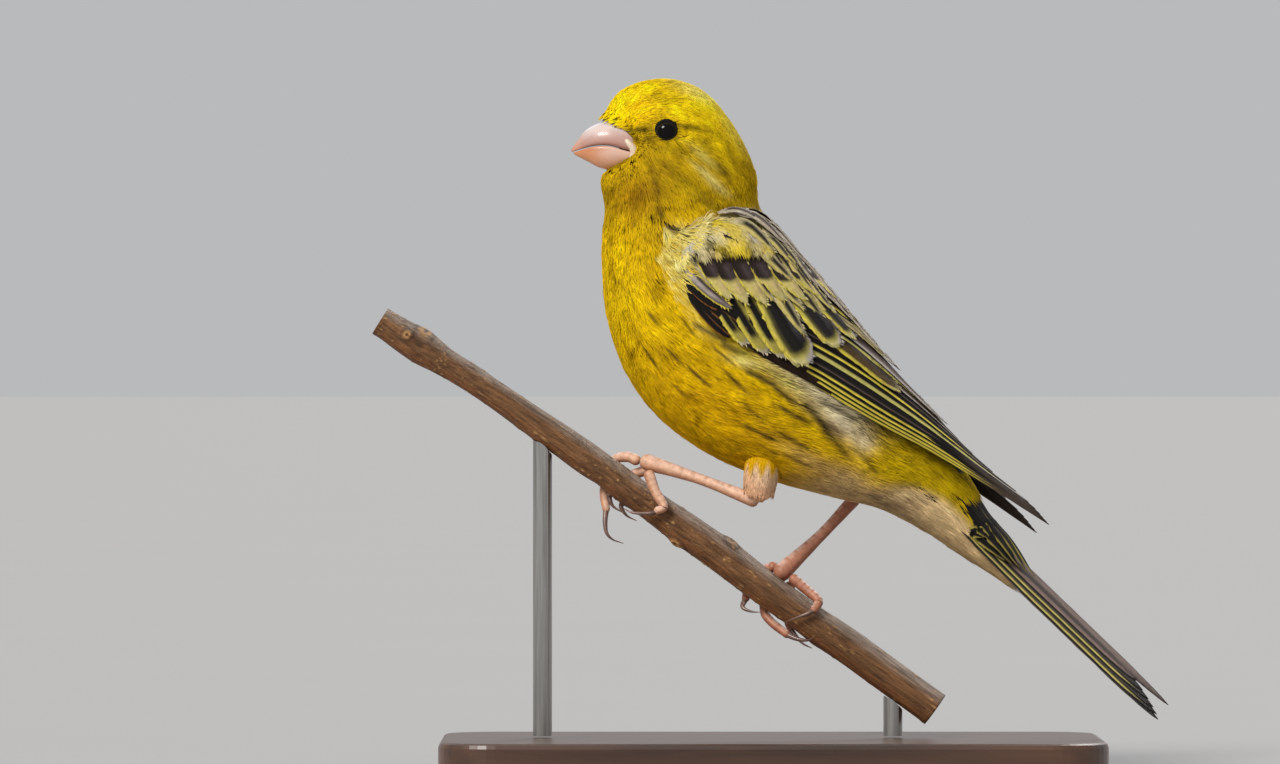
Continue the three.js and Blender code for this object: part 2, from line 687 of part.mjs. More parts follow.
function branchSolid(grow = 0) {
  const rings = [];
  for (let k = 0; k <= BRANCH_STEPS; k += 1) {
    const share = k / BRANCH_STEPS;
    const centre = branchLine.getPoint(share);
    const along = branchLine.getTangent(share);
    const up = new THREE.Vector3(-along.z, 0, along.x);
    const radius = branchRadiusAt(share) + grow;
    const end = k === 0 ? -grow : (k === BRANCH_STEPS ? grow : 0);
    const ring = [];
    for (let i = 0; i < BRANCH_SIDES; i += 1) {
      const angle = (i / BRANCH_SIDES) * 2 * Math.PI;
      ring.push(centre.clone()
        .addScaledVector(along, end)
        .addScaledVector(up, radius * Math.cos(angle))
        .add(new THREE.Vector3(0, radius * Math.sin(angle), 0)));
    }
    rings.push(ring);
  }
  return solidFrom(loft(rings));
}

const grownBranch = branchSolid(GAP);

// Legs

// Thigh and tarsus points are x, y and z. Toe and claw points lie by the branch: x along its axis,
// degrees round it from the top, and the height above its bark.
const LEGS = {
  left: {
    thigh: { points: [[-1.4, -6.4, 53.0], [-1.9, -6.2, 48.0], [-2.4, -5.8, 43.4]], radii: [3.0, 2.5, 1.7] },
    tarsus: { points: [[-3.0, -5.7, 43.4], [-11.2, -3.2, 46.6], [-19.6, -0.5, 49.3]], radii: [1.1, 0.85, 1.3] },
    toes: [
      {
        points: [[-23.8, 14, 1.9], [-25.0, 22, 1.6], [-26.0, 50, 1.1], [-25.8, 90, 1.1], [-24.8, 136, 1.3],
          [-23.2, 160, 2.6]],
        claw: [[-22.4, 170, 4.0], [-21.4, 176, 5.2], [-20.3, 177, 5.5], [-18.9, 178, 5.0]],
      },
      {
        points: [[-22.2, 30, 1.7], [-23.2, 62, 1.1], [-24.2, 100, 1.1], [-24.0, 136, 1.2]],
        claw: [[-23.4, 150, 1.4], [-22.5, 157, 1.6], [-21.0, 161, 1.3]],
      },
      {
        points: [[-20.8, 40, 1.6], [-20.6, 76, 1.1], [-21.4, 110, 1.1], [-22.0, 132, 1.1]],
        claw: [[-21.8, 146, 1.3], [-20.6, 156, 1.5], [-19.2, 160, 1.1]],
      },
      {
        points: [[-21.4, -34, 1.9], [-19.6, -54, 1.15], [-17.6, -74, 1.15], [-17.9, -92, 1.1]],
        claw: [[-18.4, -108, 1.0], [-20.2, -138, 1.1], [-21.4, -146, 1.1]],
      },
    ],
  },
  right: {
    thigh: { points: [[12.6, 6.0, 50.0], [12.8, 5.8, 46.6], [12.9, 5.6, 43.6]], radii: [3.0, 2.3, 1.5] },
    tarsus: { points: [[12.9, 5.6, 43.2], [7.8, 3.4, 37.8], [1.6, 0.8, 32.0]], radii: [1.05, 0.9, 1.45] },
    toes: [
      {
        points: [[-1.8, 30, 1.3], [-2.6, 66, 1.1], [-2.8, 108, 1.1], [-2.2, 146, 1.2]],
        claw: [[-1.9, 164, 2.0], [-0.8, 174, 1.7], [0.3, 186, 0.9]],
      },
      {
        points: [[-0.2, 46, 1.3], [-0.4, 84, 1.1], [0.2, 128, 1.1], [1.6, 158, 1.3], [4.6, 180, 1.3]],
        claw: [[6.0, 193, 1.0], [7.1, 212, 0.7], [7.6, 236, 0.7]],
      },
      {
        points: [[1.4, 50, 1.3], [2.0, 84, 1.1], [3.4, 116, 1.1], [4.6, 140, 1.1]],
        claw: [[5.6, 152, 1.1], [7.0, 166, 1.1], [8.2, 184, 0.8]],
      },
      {
        points: [[1.2, -6, 1.2], [3.4, -14, 1.1], [5.4, -30, 1.15], [5.6, -62, 1.1]],
        claw: [[5.2, -78, 1.0], [4.5, -98, 0.85], [3.6, -128, 1.0]],
      },
    ],
  },
};
const TOE_RADII = [0.85, 0.8, 0.72, 0.62];
const CLAW_RADII = [0.48, 0.36, 0.2, 0.1];

const LEG_SHAPE = { sides: 10, steps: 6 };
const TOE_SHAPE = { sides: 7, steps: 6 };
const CLAW_SHAPE = { sides: 5, steps: 4 };

// A leg piece and the same piece grown by the gap, to be cut from its neighbours.
function pieceAndGrown(points, radii, shape) {
  return [0, GAP].map((grow) => solidFrom(limb(points, radii, { ...shape, grow })));
}

// Thigh, tarsus, toes and claws of one leg; each is cut clear of those before it.
function leg(name) {
  const { thigh, tarsus, toes } = LEGS[name];
  const pieces = {};
  const [plainThigh, grownThigh] = pieceAndGrown(thigh.points, thigh.radii, LEG_SHAPE);
  const [plainTarsus, grownTarsus] = pieceAndGrown(tarsus.points, tarsus.radii, LEG_SHAPE);
  pieces[`thigh_${name}`] = plainThigh.subtract(wholeBodyGrown);
  pieces[`tarsus_${name}`] = plainTarsus.subtract(grownThigh).subtract(grownBranch);
  let taken = grownTarsus;
  toes.forEach((toe, k) => {
    const toePoints = toe.points.map((point) => byBranch(...point));
    const clawPoints = [toePoints[toePoints.length - 1], ...toe.claw.map((point) => byBranch(...point))];
    const [plainToe, grownToe] = pieceAndGrown(toePoints, TOE_RADII, TOE_SHAPE);
    const [plainClaw, grownClaw] = pieceAndGrown(clawPoints, CLAW_RADII, CLAW_SHAPE);
    pieces[`toe_${name}_${k + 1}`] = plainToe.subtract(taken).subtract(grownBranch);
    pieces[`claw_${name}_${k + 1}`] = plainClaw.subtract(taken).subtract(grownToe).subtract(grownBranch);
    taken = taken.add(grownToe).add(grownClaw);
  });
  return pieces;
}

// Stand

function roundedPlate({ length, depth, height, corner, bevel, bevelSteps, cornerSteps }) {
  const x = length / 2 - bevel;
  const y = depth / 2 - bevel;
  const r = corner - bevel;
  const outline = new THREE.Shape();
  outline.moveTo(-x + r, -y);
  outline.lineTo(x - r, -y);
  outline.absarc(x - r, -y + r, r, -Math.PI / 2, 0, false);
  outline.lineTo(x, y - r);
  outline.absarc(x - r, y - r, r, 0, Math.PI / 2, false);
  outline.lineTo(-x + r, y);
  outline.absarc(-x + r, y - r, r, Math.PI / 2, Math.PI, false);
  outline.lineTo(-x, -y + r);
  outline.absarc(-x + r, -y + r, r, Math.PI, 1.5 * Math.PI, false);
  const plate = new THREE.ExtrudeGeometry(outline, {
    depth: height - 2 * bevel,
    bevelSize: bevel,
    bevelThickness: bevel,
    bevelSegments: bevelSteps,
    curveSegments: cornerSteps,
  });
  plate.translate(0, 0, bevel);
  return solidFrom(plate);
}

// A rod from the base up to the underside of the branch.
function rod(x) {
  const bottom = BASE.height + GAP;
  const top = branchFrame(x).centre.z;
  const geometry = new THREE.CylinderGeometry(ROD_RADIUS, ROD_RADIUS, top - bottom, 20);
  geometry.rotateX(Math.PI / 2);
  geometry.translate(x, 0, (top + bottom) / 2);
  return solidFrom(geometry).subtract(grownBranch);
}

// The whole model

const model = new THREE.Group();

function place(name, shape, finish) {
  const geometry = shape.isBufferGeometry ? shape : geometryFrom(shape);
  const mesh = new THREE.Mesh(geometry, new THREE.MeshStandardMaterial(FINISHES[finish]));
  mesh.name = name;
  model.add(mesh);
}

place("head", head(), "plumage");
place("neck", bodySolid(NECK_FROM, TORSO_FROM), "plumage");
place("torso", bodySolid(TORSO_FROM, TAIL_FROM), "plumage");
place("tail", tail(), "wing");
place("wing_left", wing(-1), "wing");
place("wing_right", wing(1), "wing");
place("bill_upper", billUpper(), "bill");
place("bill_lower", lowerBill, "bill");
place("eye_left", eyeball(-1), "eye");
place("eye_right", eyeball(1), "eye");

const legFinish = { thigh: "plumage", tarsus: "skin", toe: "skin", claw: "claw" };
for (const name of ["left", "right"]) {
  for (const [node, shape] of Object.entries(leg(name))) {
    place(node, shape, legFinish[node.split("_")[0]]);
  }
}

place("perch", branchSolid(), "bark");
place("stand_base", roundedPlate(BASE), "base");
for (const [node, x] of Object.entries(ROD_PLACES)) {
  place(node, rod(x), "rod");
}

export default model;
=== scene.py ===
# The looks of a life-size canary that grips a short length of branch over a small stand.
# Sizes are in millimetres and become metres as each mesh is made.
# The bird faces -X, and its left side is toward -Y.

import bpy
import numpy as np
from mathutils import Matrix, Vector


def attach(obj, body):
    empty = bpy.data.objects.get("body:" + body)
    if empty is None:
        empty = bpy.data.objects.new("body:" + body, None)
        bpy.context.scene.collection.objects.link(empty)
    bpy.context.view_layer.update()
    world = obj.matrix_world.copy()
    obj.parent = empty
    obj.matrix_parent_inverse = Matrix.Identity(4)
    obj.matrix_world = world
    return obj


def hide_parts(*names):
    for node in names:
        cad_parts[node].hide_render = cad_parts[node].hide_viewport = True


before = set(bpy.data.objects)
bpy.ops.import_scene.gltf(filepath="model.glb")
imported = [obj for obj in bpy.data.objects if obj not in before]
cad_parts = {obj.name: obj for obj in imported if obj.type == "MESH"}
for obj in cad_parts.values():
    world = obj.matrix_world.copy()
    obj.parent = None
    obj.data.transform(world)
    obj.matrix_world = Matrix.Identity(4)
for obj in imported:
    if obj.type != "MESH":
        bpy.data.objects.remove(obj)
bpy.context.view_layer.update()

MM = 0.001

# Driving sizes of the body, as in the solids: belly x and z, back x and z, half width, and the face's sweep
BODY_SECTIONS = [
    (-26.4, 95.1, -26.3, 104.2, 3.9, 5.0),
    (-26.7, 93.9, -23.2, 107.8, 5.1, 4.6),
    (-26.7, 92.5, -17.1, 109.4, 6.3, 3.2),
    (-26.4, 90.9, -10.7, 107.4, 7.2, 1.4),
    (-26.1, 89.3, -5.5, 101.1, 8.1, 0.3),
    (-26.2, 87.6, -2.7, 94.8, 8.9, 0),
    (-26.5, 84.2, -2.2, 89.6, 9.7, 0),
    (-26.4, 77.8, 0.4, 86.0, 11.3, 0),
    (-25.5, 71.0, 3.6, 81.4, 12.4, 0),
    (-22.6, 63.0, 7.3, 76.0, 12.9, 0),
    (-17.5, 56.3, 11.4, 69.6, 12.6, 0),
    (-9.7, 50.6, 16.6, 63.0, 11.6, 0),
    (-0.5, 46.7, 22.0, 56.8, 9.8, 0),
    (9.1, 44.1, 26.4, 52.2, 7.9, 0),
    (17.0, 42.1, 29.8, 48.4, 6.1, 0),
    (24.0, 38.6, 32.6, 44.0, 4.7, 0),
    (28.7, 35.5, 34.3, 40.6, 3.6, 0),
]
LAST_SECTION = len(BODY_SECTIONS) - 1
WIDEST_DROP = 0.08
# How deep the skin lies below the plumage's surface: sections and depths
COAT_DEPTH = ([0, 1, 3.5, 6, 9, 13, 16], [0.4, 0.6, 0.8, 1.1, 1.4, 1.4, 1.0])

EYE_X = -16.5
EYE_Z = 101.0
EYE_RADIUS = 2.3
EYE_STANDS_OUT = 0.55  # less than the solid's, for the lids to close round the ball
EYE_CLEAR = (1.72, 1.46)  # half length and half height of the bare ring round the eye
EYELID = (1.52, 1.27, 0.18)  # half length, half height and thickness radius of the lids' ring

# The folded wing: low edge x, z and y, high edge x, z and y
WING_STATIONS = [
    (-15.1, 81.6, 11.3, -11.6, 86.2, 9.9),
    (-11.3, 73.2, 12.9, -3.8, 87.2, 5.8),
    (-4.2, 66.9, 13.0, 4.2, 79.0, 2.9),
    (5.4, 61.6, 11.9, 12.1, 69.8, 2.5),
    (15.5, 56.0, 9.9, 20.2, 60.7, 2.2),
    (23.9, 51.4, 7.9, 26.9, 53.6, 1.9),
    (32.0, 46.4, 5.9, 33.7, 47.4, 1.8),
    (43.2, 39.4, 3.9, 43.6, 39.9, 2.9),
]
FAR_WING_TIP_SHIFT = (-1.6, -1.4)

SIDES = ((-1, "left"), (1, "right"))


def spline(points, share):
    """A smooth line through points at shares from 0 to 1, carried on straight beyond its ends."""
    p = np.asarray(points, float)
    p = p[:, None] if p.ndim == 1 else p
    last = len(p) - 1
    place = np.asarray(share, float) * last
    inside = np.clip(place, 0, last)
    k = np.minimum(inside.astype(int), last - 1)
    f = (inside - k)[..., None]
    extended = np.vstack([2 * p[0] - p[1], p, 2 * p[-1] - p[-2]])
    a, b, c, d = extended[k], extended[k + 1], extended[k + 2], extended[k + 3]
    slope_b = (c - a) / 2
    slope_c = (d - b) / 2
    line = (2 * f**3 - 3 * f**2 + 1) * b + (f**3 - 2 * f**2 + f) * slope_b
    line += (3 * f**2 - 2 * f**3) * c + (f**3 - f**2) * slope_c
    return line + (place - inside)[..., None] * (c - b)


def unit(v):
    return v / np.maximum(np.linalg.norm(v, axis=-1, keepdims=True), 1e-9)


def smooth(value, low, high):
    t = np.clip((np.asarray(value, float) - low) / (high - low), 0, 1)
    return t * t * (3 - 2 * t)


def colour(red, green, blue):
    """A screen colour, 0 to 255, as linear light."""
    c = np.array([red, green, blue], float) / 255
    return np.where(c <= 0.04045, c / 12.92, ((c + 0.055) / 1.055) ** 2.4)


def mix(a, b, share):
    share = np.asarray(share, float)[..., None]
    return a * (1 - share) + b * share


def grid(rows, columns):
    return np.meshgrid(rows, columns, indexing="ij")


def round_angles(count, start=0.0):
    return np.linspace(start, start + 2 * np.pi, count + 1)[:-1]


def wrapped(angle):
    return (angle + np.pi) % (2 * np.pi) - np.pi


# Surfaces, each a function of two places that gives points

SECTIONS = np.array(BODY_SECTIONS)


def body(section, angle):
    """The plumage's surface. The angle runs from the back, 0, over the right side, below 0 over the left."""
    share = np.asarray(section, float) / LAST_SECTION
    low = spline(SECTIONS[:, 0:2], share)
    high = spline(SECTIONS[:, 2:4], share)
    half, sweep = np.moveaxis(spline(SECTIONS[:, 4:6], share), -1, 0)
    up = (high - low) / 2
    side = np.sin(angle)
    xz = (low + high) / 2 + up * (np.cos(angle) - WIDEST_DROP * side**2)[..., None]
    xz = xz + unit(np.stack([up[..., 1], -up[..., 0]], -1)) * (sweep * side**2)[..., None]
    return np.stack([xz[..., 0], side * half, xz[..., 1]], -1)


def around_eye(point):
    """How far places lie from the middle of the eye, as a share of its bare ring's own half sizes."""
    return np.hypot((point[..., 0] - EYE_X) / EYE_CLEAR[0], (point[..., 2] - EYE_Z) / EYE_CLEAR[1])


def coat_depth(section, point):
    """How deep the skin lies under the plumage's surface; the coat is thin round the eye."""
    return np.interp(section, *COAT_DEPTH) * (0.3 + 0.7 * smooth(around_eye(point), 1.0, 2.4))


def skin(section, angle):
    point, _, _, outward = surface_frame(body, section, angle)
    return point - outward * coat_depth(section, point)[..., None]


def wing_surface(side):
    """The sheet of one folded wing: along it from 0 at the bend, across it from 0 at its lower edge."""
    stations = np.array(WING_STATIONS)
    if side > 0:
        reach = (np.arange(len(stations)) / (len(stations) - 1)) ** 2
        for column in (0, 3):
            stations[:, column] += FAR_WING_TIP_SHIFT[0] * reach
            stations[:, column + 1] += FAR_WING_TIP_SHIFT[1] * reach

    def sheet(along, across):
        low = spline(stations[:, 0:3], along)
        high = spline(stations[:, 3:6], along)
        turn = np.asarray(across, float) * np.pi / 2
        x = low[..., 0] + (high[..., 0] - low[..., 0]) * np.sin(turn)
        z = low[..., 1] + (high[..., 1] - low[..., 1]) * np.sin(turn)
        y = high[..., 2] + (low[..., 2] - high[..., 2]) * np.cos(turn)
        return np.stack([x, side * y, z], -1)

    return sheet


def limb_surface(points, radii):
    """A round tube along points; the first place runs from 0 to 1, the second round it in radians."""
    def tube(along, angle):
        centre = spline(points, along)
        ahead = unit(spline(points, along + 0.01) - spline(points, along - 0.01))
        sideways = unit(np.array([0, 1, 0]) - ahead * ahead[..., 1:2])
        upward = np.cross(ahead, sideways)
        radius = spline(radii, along)
        return centre + radius * (np.cos(angle)[..., None] * upward + np.sin(angle)[..., None] * sideways)

    return tube


def surface_frame(surface, s, a, outward_sign=1):
    """Points of a surface, its two slopes and its outward direction."""
    s, a = np.broadcast_arrays(np.asarray(s, float), np.asarray(a, float))
    step_s = 0.01
    step_a = 0.01
    point = surface(s, a)
    along = (surface(s + step_s, a) - surface(s - step_s, a)) / (2 * step_s)
    around = (surface(s, a + step_a) - surface(s, a - step_a)) / (2 * step_a)
    return point, along, around, outward_sign * unit(np.cross(along, around))


# Meshes

def make_object(name, points, faces, material, colours=None, maps=None, normals=None,
                places=None):
    """One piece from points in millimetres and arrays of faces with the same number of corners each."""
    faces = faces if isinstance(faces, list) else [faces]
    corners = np.concatenate([f.ravel() for f in faces]).astype(np.int32)
    sizes = np.concatenate([np.full(len(f), f.shape[1]) for f in faces])
    mesh = bpy.data.meshes.new(name)
    mesh.vertices.add(len(points))
    mesh.vertices.foreach_set("co", (np.asarray(points) * MM).astype(np.float32).ravel())
    mesh.loops.add(len(corners))
    mesh.loops.foreach_set("vertex_index", corners)
    mesh.polygons.add(len(sizes))
    mesh.polygons.foreach_set("loop_start", np.concatenate([[0], np.cumsum(sizes)[:-1]]).astype(np.int32))
    mesh.polygons.foreach_set("use_smooth", np.ones(len(sizes), bool))
    mesh.update(calc_edges=True)
    if colours is not None:
        layer = mesh.attributes.new("markings", "FLOAT_COLOR", "POINT")
        rgba = np.concatenate([colours, np.ones((len(colours), 1))], 1)
        layer.data.foreach_set("color", rgba.astype(np.float32).ravel())
    if places is not None:
        layer = mesh.attributes.new("place", "FLOAT_VECTOR", "POINT")
        layer.data.foreach_set("vector", places.astype(np.float32).ravel())
    for map_name, values in (maps or {}).items():
        layer = mesh.uv_layers.new(name=map_name)
        layer.data.foreach_set("uv", values[corners].astype(np.float32).ravel())
    if normals is not None:
        mesh.normals_split_custom_set_from_vertices(normals.astype(np.float32))
    mesh.materials.append(material)
    piece = bpy.data.objects.new(name, mesh)
    bpy.context.scene.collection.objects.link(piece)
    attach(piece, "root")
    return piece


def grid_faces(rows, columns, closed=False):
    """Quads over a grid of points, joined round its columns where closed, that face along rows x columns."""
    r = np.arange(rows - 1)[:, None]
    c = np.arange(columns if closed else columns - 1)[None, :]
    following = (c + 1) % columns
    a = r * columns + c
    b = r * columns + following
    return np.stack([a, a + columns, b + columns, b], -1).reshape(-1, 4)


def capped_tube(rings, inside_out=False):
    """Points and faces of a closed tube from rings of points, with a hub at each end."""
    rings = rings[:, ::-1] if inside_out else rings
    rows, columns = rings.shape[:2]
    points = rings.reshape(-1, 3)
    hubs = np.stack([rings[0].mean(0), rings[-1].mean(0)])
    i = np.arange(columns)
    j = (i + 1) % columns
    first = np.stack([np.full(columns, rows * columns), i, j], -1)
    base = (rows - 1) * columns
    last = np.stack([np.full(columns, rows * columns + 1), base + j, base + i], -1)
    return np.vstack([points, hubs]), [grid_faces(rows, columns, True), np.vstack([first, last])]


def join_parts(parts):
    """One set of points, faces and further columns from several; every part has faces of the same kinds."""
    points = np.concatenate([p[0] for p in parts])
    starts = np.cumsum([0] + [len(p[0]) for p in parts[:-1]])
    kinds = [
        np.concatenate([p[1][k] + start for p, start in zip(parts, starts)]) for k in range(len(parts[0][1]))
    ]
    extras = [np.concatenate([p[2][k] for p in parts]) for k in range(len(parts[0][2]))]
    return points, kinds, extras


# Materials

def new_material(name):
    material = bpy.data.materials.new(name)
    material.use_nodes = True
    shader = material.node_tree.nodes["Principled BSDF"]
    return material, material.node_tree, shader


def marked_material(name):
    """A material with its tree and shader, and the markings painted on its mesh."""
    material, tree, shader = new_material(name)
    marks = add_node(tree, "ShaderNodeAttribute", attribute_name="markings").outputs["Color"]
    return material, tree, shader, marks


def add_node(tree, kind, inputs=None, **settings):
    """A node of one kind with its settings, and inputs that are numbers, colours or other nodes' outputs."""
    node = tree.nodes.new(kind)
    for key, value in settings.items():
        setattr(node, key, value)
    for key, value in (inputs or {}).items():
        if isinstance(value, bpy.types.NodeSocket):
            tree.links.new(value, node.inputs[key])
        else:
            node.inputs[key].default_value = value
    return node


def noise(tree, scale, detail=4.0, stretch=None, roughness=0.55, place=None):
    """Noise over the object's own metres or another place, with an optional stretch along its axes."""
    place = place or add_node(tree, "ShaderNodeTexCoord").outputs["Object"]
    if stretch:
        place = add_node(tree, "ShaderNodeMapping", {"Vector": place, "Scale": stretch}).outputs["Vector"]
    inputs = {"Vector": place, "Scale": scale, "Detail": detail, "Roughness": roughness}
    return add_node(tree, "ShaderNodeTexNoise", inputs).outputs["Fac"]


def ramp(tree, factor, dark, light, low=0.3, high=0.7):
    """A colour that runs from a dark to a light one as a factor goes from low to high."""
    node = add_node(tree, "ShaderNodeValToRGB", {"Fac": factor})
    for element, position, rgb in zip(node.color_ramp.elements, (low, high), (dark, light)):
        element.position = position
        element.color = (*rgb, 1)
    return node.outputs["Color"]


def shaded(tree, tone, factor, dark, light, low=0.3, high=0.7):
    """A colour multiplied by a ramp over a factor."""
    shade = ramp(tree, factor, dark, light, low, high)
    node = add_node(tree, "ShaderNodeMix", data_type="RGBA", blend_type="MULTIPLY")
    node.inputs["Factor"].default_value = 1.0
    for key, value in (("A", tone), ("B", shade)):
        tree.links.new(value, [s for s in node.inputs if s.name == key and s.type == "RGBA"][0])
    return [s for s in node.outputs if s.type == "RGBA"][0]


def set_bump(tree, shader, height, distance, strength=1.0):
    inputs = {"Height": height, "Distance": distance, "Strength": strength}
    bump = add_node(tree, "ShaderNodeBump", inputs)
    tree.links.new(bump.outputs["Normal"], shader.inputs["Normal"])


def set_inputs(tree, shader, tone, **values):
    """Gives a shader its colour from a node, and its other settings as numbers."""
    tree.links.new(tone, shader.inputs["Base Color"])
    for key, value in values.items():
        shader.inputs[key.replace("_", " ")].default_value = value


def plumage_material():
    material, tree, shader, marks = marked_material("plumage")
    tone = shaded(tree, marks, noise(tree, 2600, 3), 3 * [0.93], 3 * [1.05])
    set_inputs(tree, shader, tone, Roughness=0.7, Specular_IOR_Level=0.07)
    return material


def vane_material():
    """Flight feathers: painted markings, with fine barbs that run out from the shaft as bump and shade."""
    material, tree, shader, marks = marked_material("vane")
    place = add_node(tree, "ShaderNodeUVMap", uv_map="barbs").outputs["UV"]
    inputs = {"Vector": place, "Scale": 1.0, "Distortion": 1.6, "Detail": 2.0, "Detail Scale": 2.0}
    waved = add_node(tree, "ShaderNodeTexWave", inputs, wave_type="BANDS", bands_direction="Y")
    barbs = waved.outputs["Fac"]
    painted = shaded(tree, marks, barbs, 3 * [0.84], 3 * [1.14], 0.0, 1.0)
    painted = shaded(tree, painted, noise(tree, 900, 5), 3 * [0.84], 3 * [1.12])
    set_inputs(tree, shader, painted, Roughness=0.6, Specular_IOR_Level=0.2)
    set_bump(tree, shader, barbs, 0.00008, 0.8)
    return material


PLUMAGE = plumage_material()
VANE = vane_material()

# Colours of the plumage, as they look in daylight
YELLOW_HEAD = colour(196, 158, 2)
# The crown's own bright yellow, also used as painted light where the key light falls
YELLOW_CROWN_AND_LIT = colour(250, 212, 6)
YELLOW_FOREHEAD = colour(255, 204, 0)
YELLOW_BREAST = colour(220, 178, 0)
YELLOW_BELLY = colour(220, 168, 0)
THROAT = colour(158, 112, 0)
OLIVE = colour(118, 98, 4)
OLIVE_DARK = colour(46, 38, 4)
VENT = colour(222, 186, 128)
UNDERTAIL = colour(214, 182, 132)
DOWNY = colour(224, 208, 172)
GREY_DOWN = colour(128, 108, 84)
MANTLE = colour(206, 190, 150)
RUMP = colour(190, 158, 2)
STREAK = colour(34, 24, 18)
SPOT = colour(18, 14, 6)

# Patches on the head and body: x, z, reach along and across, tilt in degrees below the horizon, colour
# and strength
PATCHES = [
    (-21.7, 104.4, 4.0, 2.2, -30, YELLOW_FOREHEAD, 0.9),
    (-16.6, 105.9, 2.6, 0.7, 0, OLIVE, 0.6),
    (-18.6, 106.8, 1.4, 0.5, -20, OLIVE, 0.45),
    (-20.8, 108.2, 1.8, 0.4, -32, OLIVE, 0.3),
    # Pale bands along the crown's top edge and the nape's back edge are painted rim highlights
    (-11.5, 107.2, 4.0, 1.0, 22, colour(252, 236, 130), 0.6),
    (-6.0, 101.0, 4.0, 1.0, 55, colour(240, 218, 100), 0.4),
    (-20.4, 101.3, 2.0, 0.55, 4, OLIVE_DARK, 0.9),
    (-22.2, 100.6, 0.9, 1.2, -20, OLIVE_DARK, 0.6),
    (-19.2, 99.9, 1.6, 0.5, -10, OLIVE_DARK, 0.6),
    (-12.8, 101.7, 3.0, 0.45, 10, OLIVE_DARK, 0.8),
    (-8.4, 100.4, 2.6, 0.4, 30, OLIVE_DARK, 0.5),
    (-17.5, 98.4, 2.2, 0.8, 10, OLIVE, 0.5),
    (-13.4, 99.6, 2.6, 0.6, 8, colour(214, 184, 30), 0.6),
    (-14.2, 98.0, 3.2, 0.9, 8, OLIVE, 0.45),
    (-10.6, 99.0, 1.8, 0.9, 30, OLIVE, 0.6),
    (-10.6, 96.9, 2.4, 0.7, 42, colour(206, 190, 96), 0.7),
    (-7.7, 95.0, 1.5, 0.8, 50, SPOT, 0.8),
    (-10.4, 94.4, 2.4, 0.5, 38, colour(232, 218, 130), 0.7),
    (-6.6, 97.4, 1.6, 0.6, 60, OLIVE, 0.6),
    (-8.6, 92.3, 2.2, 0.6, 35, colour(226, 210, 120), 0.7),
    (-11.6, 91.4, 3.6, 1.3, 22, OLIVE, 0.55),
    (-9.5, 89.4, 3.0, 0.6, 20, OLIVE_DARK, 0.5),
    (-14.0, 93.4, 2.6, 0.5, 28, OLIVE, 0.6),
    (-16.2, 95.6, 2.0, 0.6, 30, OLIVE, 0.5),
    (-18.2, 92.4, 3.2, 0.7, 76, OLIVE_DARK, 0.75),
    (-17.4, 88.1, 0.9, 0.6, 60, SPOT, 0.95),
    (-18.7, 87.2, 0.6, 0.4, 40, SPOT, 0.9),
    (-23.4, 92.8, 1.0, 2.2, -10, OLIVE, 0.5),
    (-21.4, 90.6, 3.6, 3.4, 0, THROAT, 0.8),
    (-13.6, 84.4, 2.0, 1.4, 30, colour(244, 230, 150), 0.7),
    (-14.6, 79.0, 4.0, 0.8, 64, colour(246, 228, 120), 0.5),
    # Painted light: the crown's bright yellow over the breast's front
    (-23.0, 76.0, 2.4, 4.0, 0, YELLOW_CROWN_AND_LIT, 0.4),
    (-5.0, 66.6, 3.0, 0.7, 30, colour(226, 208, 70), 0.7),
    (2.0, 62.0, 3.4, 0.8, 38, colour(214, 200, 96), 0.7),
    (10.8, 55.4, 3.4, 1.2, 44, DOWNY, 0.85),
    (-4.2, 64.9, 2.6, 0.8, 16, colour(226, 214, 130), 0.8),
    (9.6, 54.4, 3.0, 0.9, 50, GREY_DOWN, 0.8),
    (14.6, 52.8, 1.6, 2.0, 40, DOWNY, 0.8),
    (17.6, 53.4, 3.6, 2.2, 50, RUMP, 0.8),
    (6.0, 49.6, 5.0, 1.2, 30, VENT, 0.45),
    (12.0, 46.6, 4.0, 1.8, 24, VENT, 0.8),
]
# Dark streaks on breast and flank: x and z where each starts and ends, half width, strength
STREAKS = [
    (-19.2, 72.5, -17.9, 70.9, 0.3, 0.8),
    (-11.9, 70.6, -7.6, 68.4, 0.5, 0.85),
    (-8.0, 67.8, -4.6, 66.2, 0.55, 0.8),
    (-16.4, 67.0, -14.5, 65.0, 0.25, 0.8),
    (-12.9, 63.9, -10.0, 61.3, 0.28, 0.95),
    (-7.2, 63.3, -4.1, 60.2, 0.35, 0.85),
    (-4.0, 63.6, 0.2, 61.4, 0.5, 0.9),
    (0.6, 60.8, 3.5, 58.4, 0.55, 0.9),
    (0.9, 58.1, 5.3, 55.6, 0.45, 0.9),
    (5.0, 58.4, 8.4, 54.6, 0.7, 0.95),
    (8.0, 54.4, 11.4, 50.4, 0.6, 0.9),
    (-4.6, 58.7, -1.7, 55.8, 0.28, 0.9),
    (-4.1, 55.0, 0.1, 52.9, 0.28, 0.9),
    (1.4, 53.7, 5.3, 51.6, 0.3, 0.9),
    (-19.9, 67.0, -18.2, 64.5, 0.22, 0.8),
    (-9.0, 67.0, -6.4, 64.9, 0.25, 0.7),
    (8.0, 58.6, 12.6, 56.2, 0.4, 0.7),
    (-14.0, 71.5, -12.4, 69.4, 0.25, 0.7),
    (2.0, 50.6, 6.0, 48.6, 0.25, 0.7),
    (-15.6, 61.6, -13.9, 59.9, 0.2, 0.7),
    (-1.8, 52.0, 0.6, 50.6, 0.2, 0.7),
    (14.0, 50.4, 16.0, 48.0, 0.3, 0.7),
]


